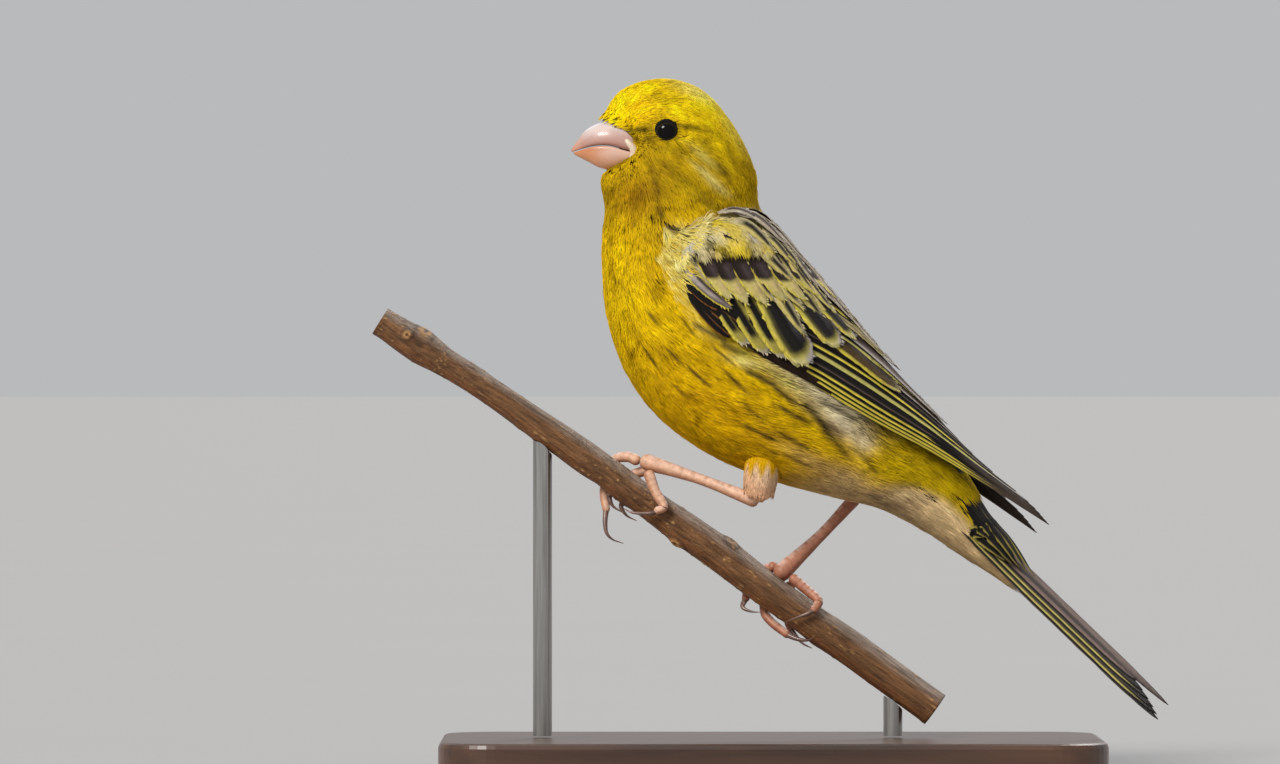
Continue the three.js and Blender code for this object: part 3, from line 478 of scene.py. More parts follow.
def waves(point, seed, reach):
    """Smooth uneven values, about -1 to 1, over places in space: waves about a reach apart, longer along X."""
    rng = np.random.default_rng(seed)
    total = np.zeros(point.shape[:-1])
    for _ in range(10):
        way = unit(rng.normal(0, 1, 3) * [0.55, 1, 0.8])
        length = reach * rng.uniform(0.7, 1.6)
        total += np.sin(point @ way * 2 * np.pi / length + rng.uniform(0, 2 * np.pi))
    return total / 10**0.5


def add_patches(shade, x, z, patches):
    for px, pz, along, across, tilt, paint_colour, strength in patches:
        turn = np.radians(-tilt)
        dx = x - px
        dz = z - pz
        forward = (dx * np.cos(turn) + dz * np.sin(turn)) / along
        sideways = (dz * np.cos(turn) - dx * np.sin(turn)) / across
        shade = mix(shade, paint_colour, strength * np.exp(-(forward**2 + sideways**2)))
    return shade


def body_colour(point, section, angle):
    """The plumage's colour at places on the head and body."""
    x = point[..., 0]
    z = point[..., 2]
    back = np.cos(angle)
    # The top of the head takes the crown's brighter yellow, with painted light on it
    shade = mix(YELLOW_HEAD, YELLOW_CROWN_AND_LIT, smooth(back, 0.2, 0.9) * smooth(section, 5.0, 3.4))
    shade = mix(shade, YELLOW_BREAST, smooth(section, 4.5, 6.5) * smooth(back, 0.5, 0.1))
    shade = mix(shade, YELLOW_BELLY, smooth(section, 8.0, 10.5) * smooth(back, 0.2, -0.6))
    shade = mix(shade, VENT, smooth(section, 11.8, 13.0) * smooth(back, -0.3, -0.75))
    shade = mix(shade, RUMP, smooth(section, 12.2, 13.2) * smooth(back, -0.5, 0.1))
    border = np.interp(section, [13.0, 14.6], [-0.3, 0.2])
    shade = mix(shade, UNDERTAIL, smooth(section, 13.0, 14.0) * smooth(back, border + 0.2, border - 0.2))
    saddle = smooth(section, 6.0, 6.5) * smooth(section, 12.6, 11.4)
    shade = mix(shade, MANTLE, saddle * smooth(back, 0.1, 0.45))
    shade = add_patches(shade, x, z, PATCHES)
    for x0, z0, x1, z1, half, strength in STREAKS:
        length = np.hypot(x1 - x0, z1 - z0)
        ax, az = (x1 - x0) / length, (z1 - z0) / length
        forward = (x - x0) * ax + (z - z0) * az
        sideways = ((z - z0) * ax - (x - x0) * az) / half
        beyond = np.maximum(np.maximum(-forward, forward - length), 0) / 0.5
        shade = mix(shade, STREAK, strength * np.exp(-(sideways**2 + beyond**2)))
    uneven = waves(point, 11, 2.4) * 0.14 + waves(point, 12, 6.0) * 0.1 + waves(point, 15, 1.1) * 0.1
    return np.clip(shade * (1 + uneven[..., None] * [0.9, 1.0, 1.0]), 0, 1)


def mantle_streak(section, angle):
    """How strongly feathers at places on the back have a dark middle."""
    back = np.cos(angle)
    return smooth(section, 6.1, 6.6) * smooth(section, 13.0, 11.5) * smooth(back, 0.2, 0.5)


# Tufts of the coat

BLADE_RIDGE = 0.3  # height of a blade's middle ridge, as a share of its width
OWN_SHADING = 0.6  # how far a blade's shading follows its own form and not the coat's


def tufts(surface, s, a, *, depth, length, width, lift, count, fan, rng, turn=0.0, segments=3, blade=0.3,
          level=0.0, outward_sign=1, scatter_heading=0.04):
    """Blades of tufts rooted at places s and a of a surface, each tuft a fan of tapered three-sided blades.

    Gives points and shading directions (tufts, count, points of a blade, 3), the place of each blade across
    its tuft, the place of each ring along its blade, and the places on the surface that the rings lie over."""
    s = np.asarray(s, float)[:, None]
    a = np.asarray(a, float)[:, None]
    shape = (len(s), count)
    values = (depth, length, width, lift, turn, level)
    depth, length, width, lift, turn, level = (
        np.broadcast_to(np.asarray(value, float).reshape(-1, 1), shape) for value in values
    )
    across = np.broadcast_to(np.linspace(-1, 1, count)[None, :], shape)
    heading = turn + across * fan + rng.normal(0, scatter_heading, shape)
    reach = length * (1 - 0.24 * across**2) * rng.uniform(0.8, 1.12, shape)
    lift = lift * (1 - 0.35 * across**2) + rng.normal(0, 0.04, shape)
    _, _, around, _ = surface_frame(surface, s, a)
    place_s = np.broadcast_to(s, shape).copy()
    place_a = a + across * width * 0.32 / np.linalg.norm(around, axis=-1)
    steps = np.linspace(0, 1, segments + 1)
    heights = np.interp(steps, [0, 0.3, 0.7, 1], [-1.15, -0.35, 0.0, 0.0])
    lifts = np.interp(steps, [0, 0.3, 0.7, 1], [0.0, 0.4, 1.0, 0.85])
    tapers = np.interp(steps, [0, 0.45, 0.8, 1], [0.9, 1.0, 0.72, 0.0])
    rings = []
    shading = []
    places = []
    for k, step in enumerate(steps):
        point, along, around, outward = surface_frame(surface, place_s, place_a, outward_sign)
        ahead = unit(unit(along) * np.cos(heading)[..., None] + unit(around) * np.sin(heading)[..., None])
        sideways = unit(np.cross(outward, ahead))
        middle = point + outward * (level + depth * heights[k] + lift * lifts[k])[..., None]
        places.append((place_s, place_a))
        if k == segments:
            rings.append(middle[..., None, :])
            shading.append(outward[..., None, :])
        else:
            half = sideways * blade / 2 * tapers[k]
            ridge = outward * blade * BLADE_RIDGE * tapers[k]
            rings.append(np.stack([middle - half, middle + ridge, middle + half], -2))
            leaning = sideways * OWN_SHADING
            shading.append(np.stack([outward - leaning, outward, outward + leaning], -2))
            stride = reach * (steps[k + 1] - step)
            place_s = place_s + np.cos(heading) * stride / np.linalg.norm(along, axis=-1)
            place_a = place_a + np.sin(heading) * stride / np.linalg.norm(around, axis=-1)
    ring_s, ring_a = (np.stack([place[i] for place in places], -1) for i in (0, 1))
    points = np.concatenate(rings, -2)
    return points, unit(np.concatenate(shading, -2)), across, steps, (ring_s, ring_a)


def blade_faces(segments):
    """Triangles of one closed three-sided blade."""
    faces = [(0, 1, 2)]
    for k in range(segments - 1):
        for i in range(3):
            a = 3 * k + i
            b = 3 * k + (i + 1) % 3
            faces += [(a, b + 3, b), (a, a + 3, b + 3)]
    last = 3 * (segments - 1)
    tip = 3 * segments
    faces += [(last + i, tip, last + (i + 1) % 3) for i in range(3)]
    return np.array(faces)


def per_point(values):
    """Values of a blade's rings, in the last place but one, for its points: three a ring and one for the tip."""
    return np.concatenate([np.repeat(values[..., :-1, :], 3, axis=-2), values[..., -1:, :]], -2)


def bake_map(places, across, steps, patch=0.003):
    """Places of blade points on the unwrap: each tuft a small patch round its root's own place."""
    shape = across.shape + (len(steps),)
    u = places[0][:, None, None] + np.broadcast_to(across[:, :, None] * patch * 0.4, shape)
    v = places[1][:, None, None] + np.broadcast_to((steps - 0.5)[None, None, :] * patch, shape)
    return per_point(np.stack([u, v], -1))


def unwrap(s, a, s_range=(0.0, LAST_SECTION)):
    """The unwrap of a skin: round it across the map and along it up the map."""
    u = 0.01 + 0.98 * ((a + np.pi) / (2 * np.pi) % 1.0)
    v = 0.01 + 0.98 * (s - s_range[0]) / (s_range[1] - s_range[0])
    return u, np.clip(v, 0.01, 0.99)


def tuft_colours(base, streak, across, steps, rng, root_shade=0.8, uneven=0.11, tip_highlights=0.3):
    """Colours of blade points: painted shade toward the root, painted highlights at some tips, dark in the
    middle where streaked.
    """
    tufts_n, count = across.shape
    middle = np.exp(-((across / 0.4) ** 2)) * np.asarray(streak).reshape(-1, 1)
    shade = mix(base, STREAK, middle[..., None] * np.ones(len(steps)))
    blade_shade = 1 + rng.normal(0, uneven, (tufts_n, count, 1, 1))
    tuft_shade = 1 + rng.normal(0, 0.1, (tufts_n, 1, 1, 1))
    # Painted highlights at some blades' tips
    tip = tip_highlights * rng.uniform(0, 1, (tufts_n, count, 1)) ** 2 * smooth(steps, 0.5, 1.0)
    shade = mix(shade * blade_shade * tuft_shade, np.clip(shade * 1.25 + 0.05, 0, 1), tip)
    # Painted shade toward each blade's root
    depth = root_shade + (1 - root_shade) * smooth(steps, 0.05, 0.6)
    return per_point(np.clip(shade * depth[:, None], 0, 1))


def coat_piece(name, points, shading, colours, uv, segments):
    blades = points.reshape(-1, points.shape[-2], 3)
    template = blade_faces(segments)
    size = blades.shape[1]
    faces = (template[None] + (np.arange(len(blades)) * size)[:, None, None]).reshape(-1, 3)
    maps = {"OFBake": uv.reshape(-1, 2)}
    return make_object(name, blades.reshape(-1, 3), faces, PLUMAGE, colours.reshape(-1, 3), maps,
                       shading.reshape(-1, 3))


def scatter(surface, s_range, a_range, spacing, rng):
    """Places spread evenly over a stretch of a surface, as far apart as a table of s and distance says."""
    rows = np.linspace(*s_range, 260)
    columns = np.linspace(*a_range, 200)
    row_step = rows[1] - rows[0]
    column_step = columns[1] - columns[0]
    s, a = grid((rows[1:] + rows[:-1]) / 2, (columns[1:] + columns[:-1]) / 2)
    _, along, around, _ = surface_frame(surface, s, a)
    cell = np.linalg.norm(np.cross(along, around), axis=-1) * row_step * column_step
    total = np.cumsum((cell / np.interp(s, *spacing) ** 2).ravel())
    count = int(np.ceil(total[-1]))
    marks = np.arange(count) + rng.uniform(0.05, 0.95, count)
    picked = np.clip(np.searchsorted(total, marks), 0, total.size - 1)
    s = s.ravel()[picked] + rng.uniform(-0.5, 0.5, count) * row_step
    a = a.ravel()[picked] + rng.uniform(-0.5, 0.5, count) * column_step
    return s, a


WING_SHEETS = {side: wing_surface(side) for side in (-1, 1)}


def under_wing(point, along_range=(0.05, 0.9), across_range=(0.14, 0.9)):
    """Which points of the body lie well under a folded wing."""
    wing_places = grid(np.linspace(*along_range, 60), np.linspace(*across_range, 20))
    wing_points = WING_SHEETS[-1](*wing_places).reshape(-1, 3)
    hidden = np.zeros(len(point), bool)
    for start in range(0, len(point), 4000):
        p = point[start:start + 4000]
        gap = np.hypot(p[:, None, 0] - wing_points[None, :, 0], p[:, None, 2] - wing_points[None, :, 2])
        hidden[start:start + 4000] = gap.min(1) < 0.7
    return hidden & (np.abs(point[:, 1]) > 1.5)


HEAD_SPACING = ([0, 1, 2.5, 4.5], [0.34, 0.4, 0.44, 0.54])
BODY_SPACING = ([4, 6, 8, 16], [0.62, 0.72, 0.78, 0.82])
BACK_LENGTH = ([0, 1, 3, 5, 6.5, 9, 12, 16], [1.3, 1.9, 2.6, 3.4, 4.4, 5.2, 5.0, 5.0])
BELLY_LENGTH = ([0, 1, 2, 4, 6, 8, 10, 13, 16], [1.1, 1.5, 1.9, 2.7, 3.6, 4.2, 4.8, 5.6, 7.0])


def feather_length(section, angle):
    back = 0.5 + 0.5 * np.cos(angle)
    return np.interp(section, *BACK_LENGTH) * back + np.interp(section, *BELLY_LENGTH) * (1 - back)


def eye_side_place():
    """The y of the head's surface beside the eye."""
    s, a = grid(np.linspace(0.8, 3.6, 200), np.linspace(0.6, 2.4, 200))
    point = body(s, a)
    nearest = np.hypot(point[..., 0] - EYE_X, point[..., 2] - EYE_Z).argmin()
    return point[..., 1].ravel()[nearest]


EYE_SIDE_Y = eye_side_place()
EYE_MIDDLE_Y = EYE_SIDE_Y + EYE_STANDS_OUT - EYE_RADIUS


def lie(s, a):
    """How far feathers turn toward the back from the body's own length, in radians."""
    beside = np.abs(wrapped(a))
    trunk = smooth(s, 6.0, 7.5) * smooth(s, 12.5, 10.5) * smooth(beside, 0.9, 1.4) * smooth(beside, 2.8, 2.0)
    cheek = smooth(s, 2.2, 3.2) * smooth(s, 6.4, 5.2) * smooth(beside, 0.5, 0.9) * smooth(beside, 2.2, 1.6)
    return -np.sign(wrapped(a)) * (0.42 * trunk + 0.4 * cheek)


def body_coat(name, s_range, a_range, *, segments, count, blade, fan, seed, width_share, lift, spacing,
              turned=0.0, longer=1.0):
    """A piece of the coat over a stretch of head and body, left bare round the eye and under the wings."""
    rng = np.random.default_rng(seed)
    s, a = scatter(body, s_range, a_range, spacing, rng)
    point, along, around, _ = surface_frame(body, s, a)
    chosen = (around_eye(point) > 1.0) & ~under_wing(point)
    s, a, point, along, around = (v[chosen] for v in (s, a, point, along, around))
    near_eye = around_eye(point)
    length = feather_length(s, a) * (0.5 + 0.5 * smooth(near_eye, 1.0, 2.8)) * longer
    # Feathers part round the eye and flow away from it.
    away = np.stack([point[:, 0] - EYE_X, np.zeros(len(s)), point[:, 2] - EYE_Z], -1)
    swerve = (away * unit(around)).sum(-1) * np.sign((away * unit(along)).sum(-1) + 1.2)
    turn = rng.normal(0, 0.05, len(s)) + lie(s, a) + turned + 0.12 * waves(point, 13, 4.0)
    turn += 0.5 * np.tanh(swerve) * np.exp(-((near_eye - 1) / 0.8) ** 2)
    lift = lift * rng.uniform(0.2, 1.0, len(s)) * smooth(near_eye, 0.9, 2.4)
    points, shading, across, steps, rings = tufts(
        body, s, a, depth=coat_depth(s, point), length=length, width=length * width_share, lift=lift,
        count=count, fan=fan, rng=rng, turn=turn, segments=segments, blade=blade,
    )
    base = body_colour(body(*rings), *rings)
    streak = mantle_streak(s, a) * rng.uniform(0.5, 1.0, len(s))
    colours = tuft_colours(base, streak, across, steps, rng)
    return coat_piece(name, points, shading, colours, bake_map(unwrap(s, a), across, steps), segments)


def head_coat():
    style = {"segments": 2, "count": 6, "blade": 0.18, "fan": 0.16, "width_share": 0.4, "lift": 0.24,
             "spacing": HEAD_SPACING, "longer": 1.25}
    body_coat("crown_feathers", (0.0, 4.6), (-0.95, 0.95), seed=21, **style)
    body_coat("cheek_feathers_left", (0.0, 4.6), (-2.25, -0.95), seed=22, **style)
    body_coat("cheek_feathers_right", (0.0, 4.6), (0.95, 2.25), seed=23, **style)
    body_coat("throat_feathers", (0.0, 4.6), (2.25, 2 * np.pi - 2.25), seed=24, **style)
    # Short feathers that point forward over the root of the bill
    style.update(count=5, blade=0.14, lift=0.02, spacing=([0, 1], [0.36, 0.36]), turned=np.pi, longer=1.0)
    body_coat("nasal_feathers", (-0.12, 0.3), (-1.7, 1.7), seed=25, **style)


def trunk_coat():
    style = {"segments": 3, "count": 8, "blade": 0.2, "fan": 0.16, "width_share": 0.34, "lift": 0.24,
             "spacing": BODY_SPACING}
    body_coat("neck_feathers", (4.6, 6.6), (-np.pi, np.pi), seed=31, **style)
    body_coat("mantle_feathers", (6.6, 12.5), (-1.2, 1.2), seed=32, **{**style, "count": 6})
    body_coat("breast_feathers_left", (6.6, 9.6), (-np.pi, -1.2), seed=33, **style)
    body_coat("breast_feathers_right", (6.6, 9.6), (1.2, np.pi), seed=34, **style)
    body_coat("flank_feathers_left", (9.6, 13.2), (-np.pi, -1.2), seed=35, **style)
    body_coat("flank_feathers_right", (9.6, 13.2), (1.2, np.pi), seed=36, **style)
    body_coat("rump_feathers", (12.5, 14.4), (-1.4, 1.4), seed=37, **style)
    body_coat("vent_feathers", (13.2, 15.9), (1.4, 2 * np.pi - 1.4), seed=38, **style)
    style.update(count=9, blade=0.2, longer=1.2, lift=0.1, fan=0.1)
    body_coat("undertail_feathers", (13.8, 16.8), (1.25, 2 * np.pi - 1.25), seed=39, **style)


# Flight feathers and coverts as vanes

# Places across a vane, and its width at shares of its length for three kinds of outline
VANE_PLACES = np.array([
    -1, -0.95, -0.87, -0.78, -0.6, -0.38, -0.15, -0.04, 0.04, 0.15, 0.38, 0.6, 0.8, 0.92, 1.0,
])
LONG = ([0, 0.1, 0.35, 0.8, 0.92, 0.975, 1], [0.45, 0.75, 1, 0.86, 0.6, 0.34, 0.06])
ROUND = ([0, 0.15, 0.5, 0.78, 0.9, 0.97, 1], [0.6, 0.85, 1, 0.95, 0.75, 0.46, 0.1])
POINTED = ([0, 0.15, 0.45, 0.7, 0.85, 0.95, 1], [0.6, 0.9, 1, 0.82, 0.55, 0.25, 0.05])


def paint(u, v, base, layers):
    """Colours over a vane from windows in its two places, u across from -1 to 1 and v along from 0 to 1."""
    shade = np.broadcast_to(base, np.shape(u) + (3,)).copy()
    for paint_colour, (u0, u1), (v0, v1), soft_u, soft_v, strength in layers:
        round_tip = v + 0.12 * u**2
        inside = smooth(u, u0 - soft_u, u0 + soft_u) * smooth(u, u1 + soft_u, u1 - soft_u)
        inside = inside * smooth(round_tip, v0 - soft_v, v0 + soft_v)
        inside = inside * smooth(round_tip, v1 + soft_v, v1 - soft_v)
        shade = mix(shade, paint_colour, inside * strength)
    return shade


def vane(path, outward, half, outline, marks, rng, *, tilt=0.0, camber=0.12, thickness=0.12, rough=0.05,
         cell=(0, 4), from_edge=False, fringe=0):
    """One feather along a path: a thin closed blade, cambered across, with a raised shaft and a soft fringe.

    A half width below 0 turns its edge at u = -1 to the other side. Gives mesh and fringe."""
    rows = len(path)
    v = np.linspace(0, 1, rows)
    u = VANE_PLACES
    ahead = unit(np.gradient(path, axis=0))
    outward = unit(outward - ahead * (outward * ahead).sum(-1, keepdims=True))
    sideways = np.cross(outward, ahead)
    width = half * np.interp(v, *outline)
    path = path + sideways * width[:, None] if from_edge else path
    level, upright = sideways, outward
    sideways = level * np.cos(tilt) + upright * np.sin(tilt)
    outward = upright * np.cos(tilt) - level * np.sin(tilt)
    ragged = 1 + rng.normal(0, rough, (rows, len(u))) * (np.abs(u) > 0.9)
    slide = rng.normal(0, rough * 2, (rows, len(u))) * (np.abs(u) > 0.9) * abs(half)
    centre = path[:, None, :] + sideways[:, None, :] * (width[:, None] * u * ragged)[..., None]
    centre = centre + ahead[:, None, :] * slide[..., None]
    dome = -camber * np.abs(width[:, None]) * u**2 * 1.6
    shaft = 0.09 * np.exp(-((u / 0.05) ** 2)) * (1 - 0.7 * v[:, None])
    body_half = thickness / 2 * (1 - 0.85 * np.abs(u) ** 3)
    top = centre + outward[:, None, :] * (dome + shaft + body_half)[..., None]
    bottom = centre + outward[:, None, :] * (dome - body_half)[..., None]
    columns = len(u)
    points = np.concatenate([top.reshape(-1, 3), bottom.reshape(-1, 3)])
    upper = grid_faces(rows, columns)
    lower = upper[:, ::-1] + rows * columns
    rim = np.concatenate([
        np.arange(columns), np.arange(1, rows) * columns + columns - 1,
        (rows - 1) * columns + np.arange(columns - 2, -1, -1), np.arange(rows - 2, 0, -1) * columns,
    ])
    after = np.roll(rim, -1)
    edge = np.stack([rim, after, after + rows * columns, rim + rows * columns], -1)
    faces = np.concatenate([upper, lower, edge])
    faces = faces if half > 0 else faces[:, ::-1]
    grid_u, grid_v = np.meshgrid(u, v)
    shade = paint(grid_u, grid_v, *marks) * (1 + rng.normal(0, 0.05))
    shade = np.clip(shade * (1 + rng.normal(0, 0.06, (rows, columns, 1))), 0, 1)
    length = np.linalg.norm(np.diff(path, axis=0), axis=1).sum()
    # The underside takes the top's colours, darkened as painted shade
    shade = np.concatenate([shade.reshape(-1, 3), shade.reshape(-1, 3) * 0.7])
    outrun = grid_v * length - np.abs(grid_u) * abs(half) * 1.2
    barbs = np.stack([grid_u * half, outrun * 2.6], -1).reshape(-1, 2)
    size = 1 / cell[1]
    corner = np.array([cell[0] % cell[1], cell[0] // cell[1] % cell[1]]) * size
    flat = np.stack([0.25 + grid_u * 0.2, 0.05 + grid_v * 0.9], -1).reshape(-1, 2)
    bake = np.concatenate([corner + flat * size, corner + (flat + [0.5, 0]) * size])
    mesh = points, [faces], [shade, np.concatenate([barbs, barbs]), bake]
    return mesh, vane_fringe(path, ahead, outward, sideways, width, marks, length, fringe, rng)


def vane_fringe(path, ahead, outward, sideways, width, marks, length, count, rng):
    """Loose barbs along a vane's edges and round its tip: their points, colours and roots."""
    along = 1 - rng.uniform(0, 1, count) ** 1.4 * 0.4
    side = np.sign(rng.uniform(-1, 1, count))
    row = along * (len(path) - 1)

    def at(values):
        return np.stack([np.interp(row, np.arange(len(path)), values[:, i]) for i in range(3)], -1)

    reach = np.interp(row, np.arange(len(path)), width)
    root = at(path) + at(sideways) * (reach * side * 0.82)[:, None] + at(outward) * 0.02
    spread = rng.uniform(0.25, 0.6, count) * side * np.sign(reach)
    heading = unit(at(ahead) * np.cos(spread)[:, None] + at(sideways) * np.sin(spread)[:, None])
    long = np.clip(rng.uniform(0.35, 0.75, count), 0, length / 5)
    points = straight_blades(root, heading, unit(at(outward)), long, 0.12, 0.05)
    shade = paint(side * 0.92, along, *marks) * (1 + rng.normal(0, 0.1, (count, 1)))
    return points, np.repeat(unit(at(outward))[:, None], 7, 1), np.clip(shade, 0, 1), along


def straight_blades(root, ahead, outward, length, width, rise):
    """Tapered three-sided blades, one from each root: points (blades, 7, 3)."""
    sideways = unit(np.cross(outward, ahead))
    rings = []
    for step, taper in ((0.0, 1.0), (0.5, 0.8)):
        middle = root + ahead * (length * step)[:, None] + outward * rise * step
        half = sideways * width / 2 * taper
        rings.append(np.stack([middle - half, middle + outward * width * 0.4 * taper, middle + half], 1))
    tip = root + ahead * length[:, None] + outward * rise
    return np.concatenate([*rings, tip[:, None]], 1)


def vane_piece(name, vanes):
    points, faces, (shade, barbs, bake) = join_parts(vanes)
    return make_object(name, points, faces, VANE, shade, {"barbs": barbs, "OFBake": bake})


def sheet_path(sheet, side, places, rows, level_root, level_tip):
    """A feather's path over a wing sheet through its places, rising from one level above it to another."""
    v = np.linspace(0, 1, rows)
    place = spline(places, v)
    point, _, _, outward = surface_frame(sheet, place[:, 0], place[:, 1], -side)
    level = level_root + (level_tip - level_root) * smooth(v, 0, 0.45)
    return point + outward * level[:, None], outward, place


BLACK = colour(25, 21, 20)
BLACK_BROWN = colour(44, 32, 26)
EDGE_YELLOW = colour(246, 224, 84)
EDGE_CREAM = colour(240, 226, 160)
EDGE_WHITE = colour(214, 204, 196)
GREY_MAUVE = colour(150, 136, 138)
RUST = colour(140, 88, 40)
GREY_BROWN = colour(128, 108, 96)

# Markings of each kind of feather: a base colour and windows of colour over it
FLIGHT = (BLACK, [
    (GREY_BROWN, (-1.2, 1.2), (0.92, 1.4), 0.05, 0.06, 0.5),
    (EDGE_YELLOW, (-1.2, -0.74), (0.0, 0.95), 0.05, 0.04, 1.0),
])
PLAIN_FLIGHT = (BLACK, [(GREY_BROWN, (-1.2, -0.8), (0.0, 1.2), 0.05, 0.05, 0.6)])
SECONDARY = (BLACK, [
    (colour(226, 216, 120), (-1.2, -0.56), (0.0, 1.0), 0.08, 0.03, 1.0),
    (EDGE_WHITE, (-1.2, 1.2), (0.98, 1.4), 0.05, 0.02, 0.8),
])
MAUVE_TERTIAL = (colour(120, 102, 96), [
    (EDGE_WHITE, (-1.2, -0.7), (0.0, 1.4), 0.1, 0.05, 0.8),
    (BLACK_BROWN, (-0.35, 0.1), (0.0, 0.95), 0.1, 0.05, 0.8),
])
OLIVE_TERTIAL = (colour(86, 66, 30), [
    (EDGE_YELLOW, (-1.2, -0.75), (0.0, 1.4), 0.1, 0.05, 0.9),
    (BLACK_BROWN, (0.0, 0.5), (0.0, 0.9), 0.2, 0.05, 0.8),
    (EDGE_CREAM, (-1.2, 1.2), (0.97, 1.4), 0.05, 0.05, 0.6),
])
TERTIAL = (BLACK, [
    (colour(206, 190, 130), (-1.2, -0.25), (0, 1.4), 0.12, 0.05, 0.9),
    (colour(96, 70, 40), (-0.8, -0.55), (0, 0.9), 0.08, 0.1, 0.8),
    (EDGE_CREAM, (0.55, 1.2), (0, 1.4), 0.08, 0.05, 0.95),
    (EDGE_WHITE, (-1.2, 1.2), (0.92, 1.4), 0.05, 0.05, 0.95),
])
GREATER = (colour(196, 182, 90), [
    (EDGE_YELLOW, (-1.2, -0.8), (0, 1.4), 0.08, 0.05, 0.7),
    (BLACK, (-0.66, 0.84), (-0.2, 0.86), 0.12, 0.06, 1.0),
    # Painted sheen over the black middle
    (colour(100, 96, 106), (0.3, 0.74), (0.2, 0.68), 0.2, 0.16, 0.7),
    (GREY_MAUVE, (0.82, 1.2), (0, 1.0), 0.06, 0.05, 0.9),
    (EDGE_WHITE, (-0.1, 1.2), (0.93, 1.4), 0.25, 0.04, 0.95),
    (EDGE_CREAM, (-1.2, -0.1), (0.93, 1.4), 0.25, 0.05, 0.8),
])
OUTER_GREATER = (colour(190, 176, 84), [
    (EDGE_YELLOW, (-1.2, -0.66), (0, 1.4), 0.1, 0.05, 0.8),
    (BLACK, (-0.5, 0.4), (-0.2, 0.72), 0.12, 0.08, 1.0),
    (EDGE_WHITE, (-1.2, 1.2), (0.95, 1.4), 0.2, 0.04, 0.7),
])
MEDIAN = (colour(232, 212, 122), [
    (BLACK_BROWN, (-1.2, 1.2), (0.12, 0.6), 0.06, 0.05, 1.0),
    (colour(104, 88, 90), (-0.3, 0.5), (0.3, 0.56), 0.3, 0.06, 0.5),
    (EDGE_YELLOW, (-1.2, -0.9), (0, 1.4), 0.03, 0.05, 0.9),
    (colour(226, 196, 150), (-0.3, 0.6), (0.64, 0.86), 0.3, 0.08, 0.6),
    (EDGE_CREAM, (-0.7, 1.2), (0.88, 1.4), 0.3, 0.08, 0.7),
])
PRIMARY_COVERT = (BLACK, [(RUST, (-1.2, -0.84), (0.5, 1.4), 0.05, 0.1, 0.9)])
ALULA = (colour(150, 134, 130), [
    (colour(206, 192, 182), (-0.6, 0.3), (0.0, 0.8), 0.3, 0.1, 0.8),
    (BLACK_BROWN, (0.35, 0.8), (0.1, 0.9), 0.12, 0.1, 0.85),
    (BLACK_BROWN, (-0.75, -0.45), (0.5, 1.0), 0.12, 0.1, 0.7),
    (EDGE_YELLOW, (-1.2, -0.76), (0, 1.4), 0.08, 0.05, 0.9),
    (EDGE_YELLOW, (0.82, 1.2), (0, 1.4), 0.06, 0.05, 0.9),
])
SCAPULAR = (colour(230, 214, 164), [
    (colour(240, 216, 96), (-1.2, -0.3), (0.2, 1.4), 0.3, 0.1, 0.6),
    (BLACK_BROWN, (-0.42, 0.42), (0.2, 0.9), 0.14, 0.08, 0.95),
    (BLACK, (-0.24, 0.24), (0.24, 0.84), 0.1, 0.1, 0.7),
])
BACK_FEATHER = (colour(214, 198, 174), [
    (colour(66, 47, 46), (-0.42, 0.42), (0.2, 0.92), 0.14, 0.08, 0.95),
    (colour(232, 222, 208), (0.7, 1.2), (0.0, 1.4), 0.1, 0.05, 0.8),
])

# Lower edges of the flight feathers on the wing's sheet, lowest first: along and across at four places
FLIGHT_EDGES = np.array([
    [(0.20, 0.015), (0.40, 0.02), (0.66, 0.0), (1.0, 0.1)],
    [(0.24, 0.05), (0.43, 0.09), (0.64, 0.12), (0.985, 0.3)],
    [(0.27, 0.12), (0.42, 0.19), (0.625, 0.28), (0.965, 0.5)],
    [(0.31, 0.24), (0.41, 0.32), (0.6, 0.48), (0.92, 0.72)],
    [(0.34, 0.40), (0.46, 0.50), (0.62, 0.68), (0.80, 0.92)],
    [(0.36, 0.55), (0.47, 0.66), (0.58, 0.84), (0.70, 1.0)],
])
FLIGHT_MARKS = [
    FLIGHT, FLIGHT, FLIGHT, FLIGHT, PLAIN_FLIGHT, SECONDARY, FLIGHT, PLAIN_FLIGHT, MAUVE_TERTIAL, SECONDARY,
    MAUVE_TERTIAL,
]
FLIGHT_STEP = 0.11  # how far each flight feather lies over the one below
COVERT_RAISE = 0.45  # coverts lie this far over the levels listed, clear of the flight feathers

